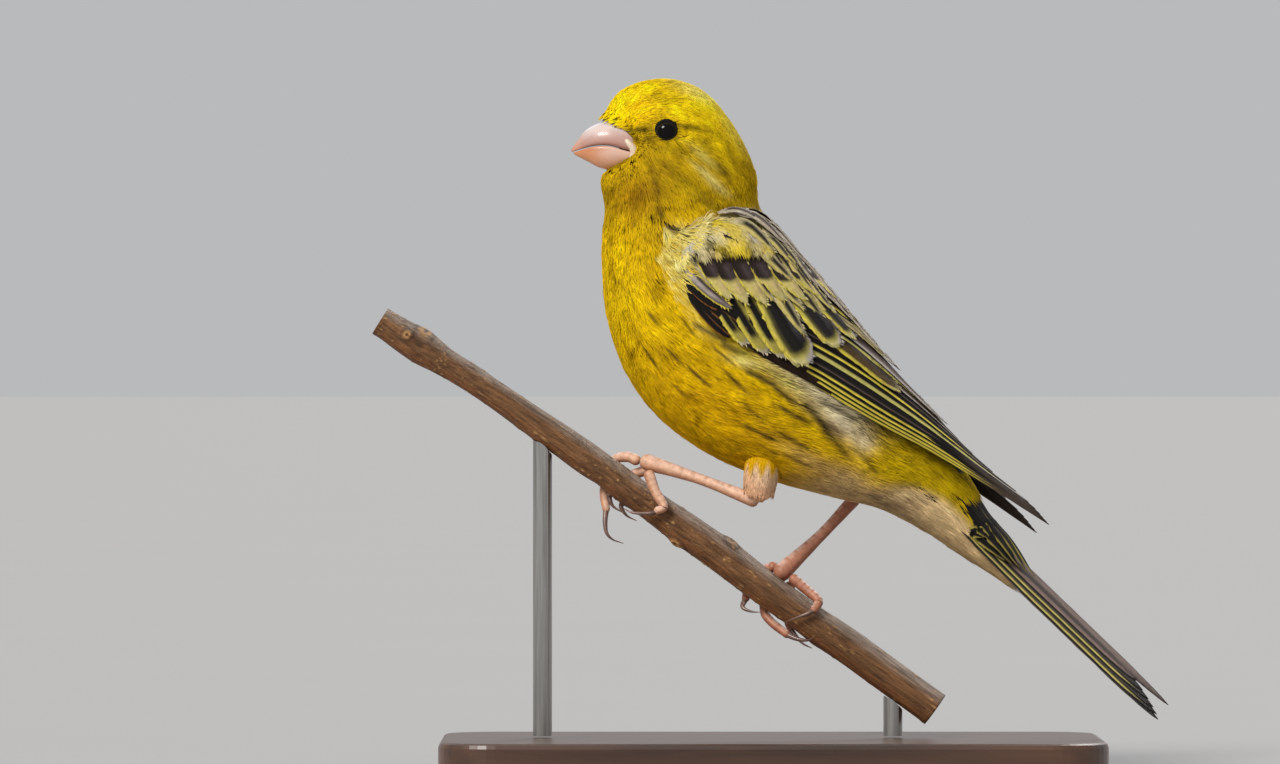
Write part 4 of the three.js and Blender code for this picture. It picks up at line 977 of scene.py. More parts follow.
# The other feathers of the wing: each row's outline and number of loose barbs, and its feathers in the order
# of laying, with the places of root and tip on the sheet, half width, level over the sheet and markings
WING_ROWS = {
    "tertial_feathers": (ROUND, 26, [
        ((0.36, 0.46), (0.57, 0.58), 1.7, 1.0, OLIVE_TERTIAL),
        ((0.38, 0.66), (0.70, 0.9), 1.4, 1.15, MAUVE_TERTIAL),
        ((0.36, 0.72), (0.525, 0.93), 1.7, 1.35, TERTIAL),
        ((0.33, 0.9), (0.44, 1.02), 1.4, 1.5, TERTIAL),
    ]),
    "primary_covert_feathers": (LONG, 6, [
        ((0.06, 0.02), (0.24, 0.0), 0.9, 0.6, PRIMARY_COVERT),
        ((0.08, 0.05), (0.27, 0.04), 1.0, 0.7, PRIMARY_COVERT),
        ((0.10, 0.08), (0.285, 0.1), 1.3, 0.85, PRIMARY_COVERT),
        ((0.12, 0.12), (0.29, 0.16), 1.4, 0.95, PRIMARY_COVERT),
    ]),
    "greater_covert_feathers": (ROUND, 30, [
        ((0.16, 0.12), (0.28, 0.03), 1.1, 0.95, OUTER_GREATER),
        ((0.19, 0.20), (0.325, 0.06), 1.3, 1.05, OUTER_GREATER),
        ((0.225, 0.27), (0.36, 0.1), 1.5, 1.15, OUTER_GREATER),
        ((0.35, 0.82), (0.45, 0.88), 1.5, 1.2, GREATER),
        ((0.33, 0.66), (0.44, 0.66), 1.6, 1.25, GREATER),
        ((0.30, 0.54), (0.428, 0.45), 2.3, 1.3, GREATER),
        ((0.24, 0.40), (0.404, 0.15), 2.7, 1.45, GREATER),
    ]),
    "alula_feathers": (LONG, 16, [
        ((0.05, 0.02), (0.185, 0.09), 0.8, 1.0, PRIMARY_COVERT),
        ((0.0, 0.06), (0.21, 0.14), 0.95, 1.2, ALULA),
    ]),
    "median_covert_feathers": (POINTED, 22, [
        ((0.07, 0.28), (0.195, 0.17), 1.6, 1.5, MEDIAN),
        ((0.105, 0.35), (0.232, 0.22), 1.8, 1.55, MEDIAN),
        ((0.14, 0.43), (0.266, 0.30), 1.9, 1.6, MEDIAN),
        ((0.17, 0.51), (0.29, 0.41), 1.9, 1.65, MEDIAN),
        ((0.205, 0.6), (0.322, 0.53), 1.9, 1.65, MEDIAN),
        ((0.23, 0.7), (0.342, 0.67), 1.8, 1.7, MEDIAN),
        ((0.26, 0.82), (0.36, 0.84), 1.4, 1.7, MEDIAN),
    ]),
}
BEND_PALE = colour(240, 226, 150)
# Patches on the soft feathers of the shoulder, in the same order as those of the body
SHOULDER_PATCHES = [
    (-13.8, 83.8, 1.4, 0.9, 10, colour(214, 212, 214), 0.9),
    (-12.3, 82.3, 0.9, 0.6, 60, SPOT, 1.0),
    (-14.6, 84.6, 0.9, 0.4, 20, STREAK, 0.9),
    (-10.6, 83.6, 0.9, 0.5, 40, SPOT, 0.95),
    (-9.6, 81.6, 1.8, 0.7, 30, GREY_MAUVE, 0.7),
    (-8.0, 82.3, 1.8, 0.55, 36, STREAK, 0.95),
    (-7.4, 83.8, 1.8, 0.5, 40, colour(236, 204, 50), 0.8),
    (-4.4, 82.3, 2.0, 0.5, 58, STREAK, 0.95),
    (-4.4, 84.6, 1.6, 0.6, 50, colour(210, 200, 200), 0.7),
    (-3.2, 85.7, 2.4, 0.5, 44, STREAK, 0.95),
    (-5.6, 80.4, 2.2, 0.5, 34, colour(232, 204, 60), 0.8),
    (1.0, 81.0, 2.6, 0.5, 42, STREAK, 0.9),
    (-1.2, 79.8, 2.4, 0.6, 40, colour(232, 208, 80), 0.8),
    (-6.6, 81.0, 2.2, 0.4, 40, STREAK, 0.7),
]


def wing(side, word):
    sheet = WING_SHEETS[side]
    rng = np.random.default_rng(100)
    barbs = []
    count = len(FLIGHT_MARKS)
    flights = []
    for k, marks in enumerate(FLIGHT_MARKS):
        share = k / (count - 1)
        edge = spline(FLIGHT_EDGES.reshape(len(FLIGHT_EDGES), -1), share).reshape(-1, 2)
        half = 1.0 + 0.5 * share
        level = 0.1 + FLIGHT_STEP * k
        path, outward, place = sheet_path(sheet, side, edge, 40, level, level)
        made, loose = vane(path, outward, -side * half, LONG, marks, rng, tilt=0.12 * side, camber=0.0,
                           rough=0.02, cell=(k, 4), from_edge=True)
        flights.append(made)
        barbs.append((loose, place))
    piece = vane_piece(f"flight_feathers_{word}", flights)
    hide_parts(f"wing_{word}")
    for name, (outline, fringe, feathers) in WING_ROWS.items():
        vanes = []
        for k, (root, tip, half, level, marks) in enumerate(feathers):
            level += COVERT_RAISE
            path, outward, place = sheet_path(sheet, side, [root, tip], 26, level - 0.5, level)
            made, loose = vane(path, outward, -side * half, outline, marks, rng, tilt=0.1 * side,
                               cell=(k, 4), fringe=fringe)
            vanes.append(made)
            barbs.append((loose, place))
        vane_piece(f"{name}_{word}", vanes)
    scapulars(sheet, side, word, barbs)
    mantle(side, word, barbs)
    wing_barbs(barbs, word)
    wing_bed(sheet, side, word)
    wing_bend(sheet, side, word)
    wing_shoulder(sheet, side, word)
    wing_edge_feathers(sheet, side, word)


def wing_barbs(barbs, word):
    """The loose barbs of all the feathers of a wing as one piece."""
    points, shading = (np.concatenate([loose[k] for loose, _ in barbs]) for k in (0, 1))
    shade = np.concatenate([np.repeat(loose[2][:, None], 7, 1) for loose, _ in barbs])
    places = np.concatenate([spline(place, loose[3]) for loose, place in barbs])
    steps = np.linspace(0, 1, 3)
    u, v = 0.1 + 0.8 * places[:, 0], 0.1 + 0.7 * places[:, 1]
    uv = bake_map((u, v), np.zeros((len(u), 1)), steps)
    coat_piece(f"wing_barbs_{word}", points, shading, shade, uv, 2)


def wing_bed(sheet, side, word):
    """The closed body of a folded wing under its feathers."""
    along, across = grid(np.linspace(0.0, 0.78, 60), np.linspace(0.02, 1.0, 16))
    point, _, _, outward = surface_frame(sheet, along, across, -side)
    thick = np.interp(along, [0, 0.1, 0.2, 0.3, 0.5, 0.78], [0.3, 0.9, 1.2, 1.0, 0.3, 0.0])[..., None]
    rings = np.concatenate([point + outward * (thick - 0.15), (point - outward * 0.9)[:, ::-1]], 1)
    points, faces = capped_tube(rings, side > 0)
    shade = mix(MANTLE, BLACK_BROWN, smooth(points[:, 0], -9.0, -3.0))
    make_object(f"wing_bed_{word}", points, faces, PLUMAGE, shade)


def sheet_tufts(name, sheet, side, s, a, base, streak, seed, **style):
    """Soft feathers rooted at places on a wing's sheet."""
    rng = np.random.default_rng(seed)
    points, shading, across, steps, rings = tufts(sheet, s, a, rng=rng, outward_sign=-side, **style)
    colours = tuft_colours(base[:, None, None], streak, across, steps, rng, uneven=0.12)
    uv = bake_map((0.1 + 0.7 * s, 0.1 + 0.7 * a), across, steps)
    coat_piece(name, points, shading, colours, uv, style["segments"])


SCAPULAR_ROWS = 8
SCAPULAR_FROM = 0.06
SCAPULAR_STEP = 0.052
SCAPULAR_EDGE = ([0.06, 0.14, 0.2, 0.3, 0.42], [0.56, 0.56, 0.64, 0.78, 0.98])  # their lowest place across
SCAPULAR_SPACING = 2.1


def scapulars(sheet, side, word, barbs):
    """Rows of streaked shoulder feathers that cover the wing's upper part, laid from the rear forward."""
    rng = np.random.default_rng(131)
    vanes = []
    for row in range(SCAPULAR_ROWS - 1, -1, -1):
        start = SCAPULAR_FROM + SCAPULAR_STEP * row
        low = np.interp(start, *SCAPULAR_EDGE)
        high = 1.16
        width = np.linalg.norm(sheet(start, high) - sheet(start, low)) * 1.15
        count = max(1, round(width / SCAPULAR_SPACING))
        for k in range(count):
            across = low + (high - low) * (k + 0.5 * (row % 2) + rng.uniform(-0.2, 0.2)) / count
            root = (start + rng.uniform(-0.012, 0.012), across)
            tip = (start + rng.uniform(0.1, 0.13), across - 0.05 + 0.04 * rng.normal())
            level = COVERT_RAISE + np.interp(start, [0, 0.2, 0.42], [1.3, 1.6, 1.4])
            level += 0.03 * (SCAPULAR_ROWS - row)
            path, outward, place = sheet_path(sheet, side, [root, tip], 12, level - 0.55, level)
            marks = SCAPULAR if across < 0.82 else BACK_FEATHER
            half = -side * rng.uniform(1.0, 1.35)
            made, loose = vane(path, outward, half, POINTED, marks, rng, rough=0.1, tilt=0.1 * side,
                               cell=(len(vanes), 12), fringe=26)
            vanes.append(made)
            barbs.append((loose, place))
    vane_piece(f"scapular_feathers_{word}", vanes)


MANTLE_ROWS = (6.2, 8.6, 0.48)  # first and last section of the roots, and the step between rows
MANTLE_SPACING = 2.0


def mantle_level(section, beside):
    """How far the mantle's feathers lie over the body: more where the folded wing is under them."""
    rise = np.interp(section, [5.8, 6.5, 8.0, 9.6, 10.6], [0.0, 1.5, 2.8, 3.1, 3.1])
    return rise * np.interp(beside, [0, 0.2, 0.55], [0.2, 0.45, 1.0])


def mantle(side, word, barbs):
    """Rows of streaked feathers from the nape down over the front of a wing, laid from the rear forward."""
    rng = np.random.default_rng(132)
    first, last, step = MANTLE_ROWS
    vanes = []
    v = np.linspace(0, 1, 14)
    for row, section in enumerate(np.arange(last, first - step / 2, -step)):
        low = np.interp(section, [6.3, 7.0, 8.7], [1.3, 1.1, 0.85])
        girth = np.linalg.norm(body(section, low) - body(section, 0.0))
        count = max(2, round(girth * 1.1 / MANTLE_SPACING))
        for k in range(count):
            beside = low * (k + 0.5 * (row % 2) + rng.uniform(-0.2, 0.2)) / count
            s = section + rng.uniform(-0.1, 0.1) + v * rng.uniform(1.4, 1.75)
            a = side * np.maximum(beside - 0.06 * v + rng.normal(0, 0.03) * v, 0.02)
            point, _, _, outward = surface_frame(body, s, a)
            level = mantle_level(s, np.abs(a)) + 0.05 * row / 8 - 0.7 * smooth(v, 0.5, 0.0)
            path = point + outward * level[:, None]
            marks = SCAPULAR if beside > 0.55 else BACK_FEATHER
            half = -side * rng.uniform(0.95, 1.3)
            made, loose = vane(path, outward, half, POINTED, marks, rng, rough=0.1, tilt=0.08 * side,
                               cell=(len(vanes), 12), fringe=26)
            vanes.append(made)
            barbs.append((loose, np.stack([s / LAST_SECTION, beside + 0 * s], -1)))
    vane_piece(f"mantle_vanes_{word}", vanes)


SHOULDER_SPACING = ([0], [0.5])
BEND_SPACING = ([0], [0.6])


def wing_shoulder(sheet, side, word):
    """Soft mottled feathers over the shoulder, between the bend and the coverts."""
    rng = np.random.default_rng(145)
    s, a = scatter(sheet, (0.0, 0.2), (0.16, 1.0), SHOULDER_SPACING, rng)
    kept = a > np.interp(s, [0.0, 0.06, 0.12, 0.2], [0.16, 0.26, 0.4, 0.58])
    s, a = s[kept], a[kept]
    point = sheet(s, a)
    tone = 0.5 + 0.5 * waves(point, 146, 3.0)
    base = mix(colour(226, 198, 60), colour(214, 200, 150), np.clip(tone, 0, 1))
    base = add_patches(base, point[:, 0], point[:, 2], SHOULDER_PATCHES)
    level = np.interp(s, [0.0, 0.05, 0.2], [1.5, 1.9, 2.3]) - 1.2 * smooth(a, 0.55, 0.85)
    sheet_tufts(f"shoulder_feathers_{word}", sheet, side, s, a, base, 0 * s, 147, depth=0.6, level=level,
                length=2.2, width=0.9, lift=0.15, count=8, fan=0.2, blade=0.17, segments=3, turn=side * 0.5)


def wing_bend(sheet, side, word):
    """Short pale feathers over the bend of the wing."""
    rng = np.random.default_rng(141)
    s, a = scatter(sheet, (-0.1, 0.02), (-0.02, 1.1), BEND_SPACING, rng)
    tone = rng.uniform(0, 1, len(s))
    base = mix(BEND_PALE, colour(236, 204, 40), tone * 0.8)
    base = mix(base, colour(200, 186, 160), smooth(a, 0.6, 0.95) * 0.6)
    streak = 0.4 * smooth(a, 0.4, 0.8)
    level = np.interp(s, [-0.1, -0.04, 0.02], [0.0, 0.8, 1.7])
    sheet_tufts(f"wing_bend_feathers_{word}", sheet, side, s, a, base, streak, 142, depth=0.9, level=level,
                length=2.6, width=1.0, lift=0.3, count=7, fan=0.2, blade=0.16, segments=3)


WING_EDGE_TUFTS = 420


def wing_edge_feathers(sheet, side, word):
    """Breast and flank feathers that lap over the wing's front and lower edge."""
    rng = np.random.default_rng(151)
    grid_s, grid_a = grid(np.linspace(5, 14, 260), np.linspace(1.0, 2.7, 140))
    body_points = body(grid_s, grid_a)
    along = np.sort(rng.uniform(-0.05, 0.5, WING_EDGE_TUFTS))
    below = rng.uniform(0.3, 3.0, len(along))
    edge = sheet(along, 0 * along)
    ahead = unit(sheet(along + 0.01, 0 * along) - edge)
    wanted = edge[:, [0, 2]] + np.stack([ahead[:, 2], -ahead[:, 0]], -1) * below[:, None]
    gap = np.hypot(body_points[..., 0].ravel() - wanted[:, :1], body_points[..., 2].ravel() - wanted[:, 1:])
    nearest = gap.argmin(1)
    s = grid_s.ravel()[nearest]
    a = grid_a.ravel()[nearest] * side
    lap = smooth(below, 3.0, 0.6) * np.interp(along, [0.04, 0.09, 0.24, 0.3, 0.5], [1, 0.1, 0.1, 0.6, 0.3])
    points, shading, across, steps, rings = tufts(
        body, s, a, depth=0.8, length=rng.uniform(3.4, 4.8, len(s)), width=0.9, lift=0.2 + 1.9 * lap,
        count=6, fan=0.14, rng=rng, turn=-side * (0.4 + 0.3 * lap), segments=3, blade=0.16,
    )
    base = body_colour(body(*rings), *rings)
    pale = np.interp(along, [0, 0.08, 0.18, 0.5], [0.9, 0.5, 0.08, 0.0])
    pale = pale * rng.uniform(0.0, 1.0, len(s)) ** 0.7
    base = mix(base, colour(250, 238, 150), pale[:, None, None] * smooth(steps, 0.2, 0.9))
    colours = tuft_colours(base, 0 * s, across, steps, rng)
    uv = bake_map(unwrap(s, a), across, steps)
    coat_piece(f"wing_edge_feathers_{word}", points, shading, colours, uv, 3)


# Tail

TAIL_ROOT = (29.6, 39.6)
TAIL_SLOPE = np.radians(44.1)
TAIL_ROLL = np.radians(20)
TAIL_LENGTH = 43.4
TAIL_FEATHERS = 12
TAIL_FORK = 7.5
TAIL_FORK_CURVE = 1.4
TAIL_VANE_HALF = 2.1
TAIL_OVERLAP = 0.85  # the dressed vanes' width as a share of the solids'
TAIL_TIP_SPACING = 0.62
TAIL_ROOT_SHARE = 0.85
TAIL_RAISE = 1.8
TAIL_LAYER = 0.12
TAIL_AHEAD = np.array([np.cos(TAIL_SLOPE), 0, -np.sin(TAIL_SLOPE)])
TAIL_NORMAL = np.array([np.sin(TAIL_SLOPE), 0, np.cos(TAIL_SLOPE)])
TAIL_ACROSS = np.array([0, np.cos(TAIL_ROLL), 0]) + TAIL_NORMAL * np.sin(TAIL_ROLL)
TAIL_UP = np.cross(TAIL_AHEAD, TAIL_ACROSS)


def tail_points(along, across, rise):
    root = np.array([TAIL_ROOT[0], 0, TAIL_ROOT[1]])
    along, across, rise = (np.asarray(v, float)[..., None] for v in (along, across, rise))
    return root + TAIL_AHEAD * along + TAIL_ACROSS * across + TAIL_UP * rise


TAIL_OUTER = (BLACK, [(GREY_BROWN, (-1.2, -0.86), (0.0, 1.4), 0.05, 0.05, 0.5)])
TAIL_LINED = (BLACK, [(colour(226, 210, 120), (-1.2, -0.62), (0.0, 0.97), 0.06, 0.03, 1.0)])
TAIL_BROWN = (colour(94, 70, 60), [
    # Painted sheen: a pale mauve over one half of the vane
    (colour(160, 134, 124), (-1.2, -0.3), (0.1, 1.4), 0.3, 0.2, 0.65),
    (BLACK_BROWN, (-0.1, 0.5), (0.0, 0.9), 0.2, 0.2, 0.9),
    (BLACK_BROWN, (-1.2, 1.2), (0.99, 1.4), 0.05, 0.02, 0.7),
])
TAIL_COVERT = (BLACK, [
    (colour(206, 188, 84), (-1.2, -0.72), (0.4, 1.4), 0.1, 0.1, 0.95),
    (colour(190, 172, 84), (0.76, 1.2), (0.4, 1.4), 0.1, 0.1, 0.9),
    (colour(160, 140, 90), (-1.2, 1.2), (0.95, 1.4), 0.1, 0.05, 0.6),
])
TAIL_MARKS = [TAIL_OUTER, TAIL_LINED, TAIL_OUTER, TAIL_LINED, TAIL_OUTER, TAIL_BROWN]
TAIL_ARCH = 0.02  # how fast the tail's cross-section bends down toward its near edge, per mm
TAIL_FAN = 1.12
# Rows of coverts that run from the body's end onto the tail: count, the section they root at and how far
# round it, how far the middle and the outer ones reach along the tail, how far they spread over it, their
# rise over it, half width and markings
TAIL_COVERTS = {
    "upper_tail_coverts": (9, 14.3, (-1.4, 1.4), (14.0, 9.0), 2.6, 2.3, 1.1, TAIL_COVERT),
    "upper_tail_coverts_short": (11, 13.9, (-1.5, 1.5), (7.0, 4.0), 3.2, 2.9, 1.1, TAIL_COVERT),
}


def tail():
    rng = np.random.default_rng(51)
    rows = 34
    v = np.linspace(0, 1, rows)
    vanes = []
    middle = (TAIL_FEATHERS - 1) / 2
    for k in range(TAIL_FEATHERS):
        place = k - middle
        outer = abs(place) / middle
        length = TAIL_LENGTH - TAIL_FORK * (1 - outer) ** TAIL_FORK_CURVE
        level = TAIL_RAISE - TAIL_LAYER * (abs(place) + (0.5 if place > 0 else 0))
        mixed = TAIL_ROOT_SHARE + (1 - TAIL_ROOT_SHARE) * v
        across = place * TAIL_TIP_SPACING * mixed * TAIL_FAN
        arch = TAIL_ARCH * np.minimum(across, 0) ** 2
        path = tail_points(length * v, across, level * mixed - arch)
        half = -TAIL_VANE_HALF * np.sign(place) * TAIL_OVERLAP
        lean = 2 * TAIL_ARCH * max(-place * TAIL_TIP_SPACING * TAIL_FAN, 0)
        marks = TAIL_MARKS[k] if k < len(TAIL_MARKS) else TAIL_BROWN
        made, _ = vane(path, np.broadcast_to(TAIL_UP, (rows, 3)), half, LONG, marks, rng, rough=0.02,
                       tilt=lean, camber=0.0, cell=(k, 4))
        vanes.append(made)
    piece = vane_piece("tail_feathers", vanes)
    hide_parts("tail")
    centre = body(15.9, 0.0) * 0.5 + body(15.9, np.pi) * 0.5
    for name, row in TAIL_COVERTS.items():
        count, section, (first, last), (reach, edge_reach), spread, rise, half, marks = row
        vanes = []
        for k in range(count):
            share = k / (count - 1) * 2 - 1
            turn = (first + last) / 2 + (last - first) / 2 * share
            root = body(section, turn)
            side_on = body(15.7, turn)
            along = reach + (edge_reach - reach) * abs(share)
            tip = tail_points(along, spread * np.sin(share * 1.4), rise - 0.6 * share**2)
            past = side_on * 0.5 + tip * 0.5 + (side_on - centre) * 0.12
            path = spline([root, side_on, past, tip], v)
            away = unit(path - (centre + TAIL_AHEAD * ((path - centre) @ TAIL_AHEAD)[:, None]))
            away = unit(away + TAIL_UP * smooth(v, 0.5, 1.0)[:, None] * 2)
            made, _ = vane(path, away, half * (np.sign(share) or 1), POINTED, marks, rng, camber=0.15,
                           cell=(k, 4))
            vanes.append(made)
        vane_piece(name, vanes)


# Skin

def skin_piece():
    s, a = grid(np.linspace(0, LAST_SECTION + 0.8, 178), round_angles(96, -np.pi))
    rings = skin(s, a)
    points, faces = capped_tube(rings)
    # The skin shows the plumage's colours at half strength: painted shade under the coat
    marks = body_colour(rings, s, a).reshape(-1, 3) * 0.5
    marks = np.vstack([marks, marks[:2]])
    piece = make_object("skin", points, faces, PLUMAGE, marks)
    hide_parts("head", "neck", "torso")
    return piece


# Bill

CULMEN = [(-22.6, 103.3), (-24.6, 103.0), (-26.1, 102.8), (-27.9, 102.2), (-29.6, 101.0), (-31.6, 98.2)]
MOUTH = [(-20.6, 97.7), (-23.2, 98.3), (-25.4, 98.9), (-27.6, 98.9), (-29.4, 98.5), (-31.3, 97.9)]
GONYS = [(-20.6, 95.6), (-22.6, 95.5), (-24.8, 95.2), (-26.8, 95.4), (-28.8, 96.4), (-30.9, 97.5)]
BILL_HALF_WIDTHS = [3.5, 3.3, 3.0, 2.4, 1.5, 0.25]
MOUTH_GAP = 0.1
# The pale swollen rim at the corner of the mouth: x, z, y and radius
GAPE = [
    (-23.0, 99.9, 3.1, 0.3), (-22.4, 99.2, 3.3, 0.5), (-21.8, 98.5, 3.4, 0.62), (-21.6, 97.8, 3.4, 0.6),
    (-21.9, 97.1, 3.3, 0.45), (-22.3, 96.5, 3.0, 0.25),
]
NOSTRIL = (-24.3, 101.7, 2.1, 0.42)  # x, z, y and radius
GAPE_TINT = colour(232, 214, 190)
NOSTRIL_TINT = colour(110, 70, 52)


def bill_material():
    material, tree, shader, marks = marked_material("bill_horn")
    tone = shaded(tree, marks, noise(tree, 500, 4, (0.35, 1, 1)), (0.86, 0.84, 0.84), 3 * [1.06])
    set_inputs(tree, shader, tone, Roughness=0.36, Subsurface_Weight=0.18, Subsurface_Scale=0.001,
               Coat_Weight=0.15)
    shader.inputs["Subsurface Radius"].default_value = (1.0, 0.5, 0.35)
    set_bump(tree, shader, noise(tree, 1400, 3, (0.3, 1, 1)), 0.00003, 0.6)
    return material


def bill_half(name, outer, narrower, material, top):
    steps = np.linspace(0, 1, 40)
    outline = spline(outer, steps)
    mouth = spline(MOUTH, steps)
    half = np.maximum(spline(BILL_HALF_WIDTHS, steps)[:, 0] * narrower, 0.15)
    up = outline - mouth
    height = np.maximum(np.linalg.norm(up, axis=1) - MOUTH_GAP, 0.1)
    up = unit(up)
    angle = np.linspace(0, np.pi, 33)
    ring_y = np.cos(angle)[None, :] * half[:, None]
    bulge = np.sin(angle) ** 0.86
    ring_up = MOUTH_GAP + bulge[None, :] * height[:, None]
    x = mouth[:, None, 0] + up[:, None, 0] * ring_up
    z = mouth[:, None, 1] + up[:, None, 1] * ring_up
    rings = np.stack([x, ring_y, z], -1)
    points, faces = capped_tube(rings, not top)
    rise = np.broadcast_to(bulge, ring_y.shape)
    tip = np.broadcast_to(steps[:, None], ring_y.shape)
    if top:
        shade = mix(colour(194, 154, 142), colour(218, 200, 194), smooth(rise, 0.35, 0.8))
        # A painted highlight along the ridge of the upper bill
        shade = mix(shade, colour(240, 234, 238), smooth(rise, 0.86, 0.98) * smooth(tip, 0.95, 0.6))
        shade = mix(shade, colour(206, 146, 118), smooth(tip, 0.7, 1.0))
        shade = mix(shade, colour(168, 104, 84), smooth(rise, 0.3, 0.0) * 0.7)
    else:
        shade = mix(colour(236, 196, 176), colour(222, 150, 104), smooth(tip, 0.35, 0.8))
        shade = mix(shade, colour(226, 160, 116), smooth(rise, 0.3, 0.7) * 0.5)
        shade = mix(shade, colour(200, 120, 80), smooth(rise, 0.3, 0.0) * smooth(tip, 0.3, 0.6) * 0.6)
    marks = (shade if top else shade[:, ::-1]).reshape(-1, 3)
    marks = np.vstack([marks, marks[:1], marks[-1:]])
    return make_object(name, points, faces, material, marks)


def bill():
    material = bill_material()
    upper = bill_half("upper_bill", CULMEN, 1.0, material, True)
    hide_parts("bill_upper")
    lower = bill_half("lower_bill", GONYS, 0.9, material, False)
    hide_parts("bill_lower")
    for side, word in SIDES:
        line = np.array([(x, side * y, z) for x, z, y, _ in GAPE])
        tube = limb_surface(line, [r for *_, r in GAPE])
        soft_tube(f"gape_{word}", tube, material, GAPE_TINT)
        x, z, y, radius = NOSTRIL
        line = [(x + 0.5, side * y, z - 0.3), (x - 0.5, side * y, z + 0.1)]
        tube = limb_surface(line, [radius, radius * 0.6])
        soft_tube(f"nostril_{word}", tube, material, NOSTRIL_TINT)


def soft_tube(name, tube, material, tint):
    """A smooth tube on the bill with rounded ends and an even tint."""
    turn = np.linspace(0, np.pi / 2, 6)
    inset = 0.08 * (1 - np.cos(turn))
    share = np.concatenate([inset, np.linspace(0.1, 0.9, 24), 1 - inset[::-1]])
    scale = np.concatenate([np.sin(turn), np.ones(24), np.sin(turn)[::-1]])
    rings = tube(*grid(share, round_angles(16)))
    centre = rings.mean(1, keepdims=True)
    points, faces = capped_tube(centre + (rings - centre) * np.maximum(scale, 0.05)[:, None, None])
    return make_object(name, points, faces, material, np.broadcast_to(tint, points.shape))


# Eyes

def eye_material():
    material, tree, shader = new_material("eye")
    tone = ramp(tree, noise(tree, 900, 2), colour(4, 3, 3), colour(12, 8, 6), 0.3, 0.8)
    set_inputs(tree, shader, tone, Roughness=0.1, Specular_IOR_Level=0.16)
    return material


def lid_material():
    material, tree, shader = new_material("eyelid")
    tone = ramp(tree, noise(tree, 3000, 3), colour(22, 18, 8), colour(44, 36, 16))
    set_inputs(tree, shader, tone, Roughness=0.8, Specular_IOR_Level=0.15)
    set_bump(tree, shader, noise(tree, 4200, 3), 0.00006, 0.8)
    return material


def eyes():
    ball_material = eye_material()
    rim_material = lid_material()
    long_half, high_half, radius = EYELID
    for side, word in SIDES:
        polar, turn = grid(np.linspace(0.04, np.pi - 0.04, 40), round_angles(64))
        rings = np.stack([
            EYE_X + EYE_RADIUS * np.sin(polar) * np.cos(turn),
            side * EYE_MIDDLE_Y + EYE_RADIUS * np.cos(polar) * side,
            EYE_Z + EYE_RADIUS * np.sin(polar) * np.sin(turn),
        ], -1)
        points, faces = capped_tube(rings, side > 0)
        ball = make_object(f"eyeball_{word}", points, faces, ball_material)
        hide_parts(f"eye_{word}")
        turn, around = grid(round_angles(72), round_angles(12))
        reach = 1 + radius * np.cos(around) / long_half
        x = EYE_X + long_half * reach * np.cos(turn)
        z = EYE_Z + high_half * reach * np.sin(turn)
        flat = np.sqrt(np.maximum(EYE_RADIUS**2 - (x - EYE_X) ** 2 - (z - EYE_Z) ** 2, 0.2))
        y = side * (EYE_MIDDLE_Y + flat * 0.985 + radius * np.sin(around) * 0.8)
        rings = np.stack([x, y, z], -1)
        rows, columns = turn.shape
        faces = grid_faces(rows + 1, columns, True) % (rows * columns)
        faces = faces[:, ::-1] if side > 0 else faces
        make_object(f"eyelids_{word}", rings.reshape(-1, 3), faces, rim_material)


# Branch

BRANCH = [
    (-61.5, 71.4, 2.3), (-55.6, 67.7, 2.6), (-50.0, 64.2, 2.2), (-42.7, 59.5, 2.2), (-30.1, 50.6, 2.5),
    (-23.6, 46.0, 2.5), (-16.8, 41.0, 2.5), (-8.2, 34.8, 2.75), (2.8, 26.7, 2.6), (12.2, 20.1, 2.7),
    (25.6, 10.4, 2.8),
]
BRANCH_LINE = np.array([(x, 0, z) for x, z, _ in BRANCH])
BRANCH_RADII = [r for _, _, r in BRANCH]


def branch_place(x):
    """The share along the branch at which its axis has a given x."""
    shares = np.linspace(0, 1, 4001)
    return np.interp(x, spline(BRANCH_LINE, shares)[:, 0], shares)


def by_branch(x, degrees, height):
    """A point near the branch: x along its axis, degrees round it from the top, and height above its bark."""
    share = branch_place(x)
    ahead = unit(spline(BRANCH_LINE, share + 0.001) - spline(BRANCH_LINE, share - 0.001))
    up = np.array([-ahead[2], 0, ahead[0]])
    reach = spline(BRANCH_RADII, share)[0] + height
    turn = np.radians(degrees)
    return spline(BRANCH_LINE, share) + up * np.cos(turn) * reach + np.array([0, np.sin(turn) * reach, 0])


# Knots and scars on the bark: x, degrees round from the top, height, reach along and reach round
BARK_KNOTS = [
    (-7.9, -14, 0.5, 1.3, 1.2),
    (-13.6, -150, 0.9, 1.4, 0.9),
    (-55.6, -20, 0.3, 1.6, 2.6),
    (-57.5, -80, 0.5, 0.9, 0.9),
    (8.0, 150, 0.4, 1.2, 1.2),
    (-35.0, 170, 0.35, 1.2, 1.0),
]


def bark_material():
    """Bark with fissures drawn out along the branch, worked out from places round it and along it in mm."""
    material, tree, shader, marks = marked_material("bark")
    place = add_node(tree, "ShaderNodeAttribute", attribute_name="place").outputs["Vector"]
    fissures = noise(tree, 2.4, 6, (1, 1, 0.12), 0.7, place)
    patches = noise(tree, 0.5, 4, (1, 1, 0.5), 0.6, place)
    fine = noise(tree, 7.0, 4, (1, 1, 0.35), 0.6, place)
    tone = shaded(tree, marks, fissures, (0.42, 0.38, 0.34), (1.2, 1.18, 1.16), 0.36, 0.62)
    tone = shaded(tree, tone, patches, (0.74, 0.72, 0.7), (1.16, 1.14, 1.14))
    set_inputs(tree, shader, tone, Roughness=0.62, Specular_IOR_Level=0.4)
    inputs = {0: fissures, 1: fine}
    height = add_node(tree, "ShaderNodeMath", inputs, operation="ADD").outputs[0]
    set_bump(tree, shader, height, 0.00035, 1.0)
    return material


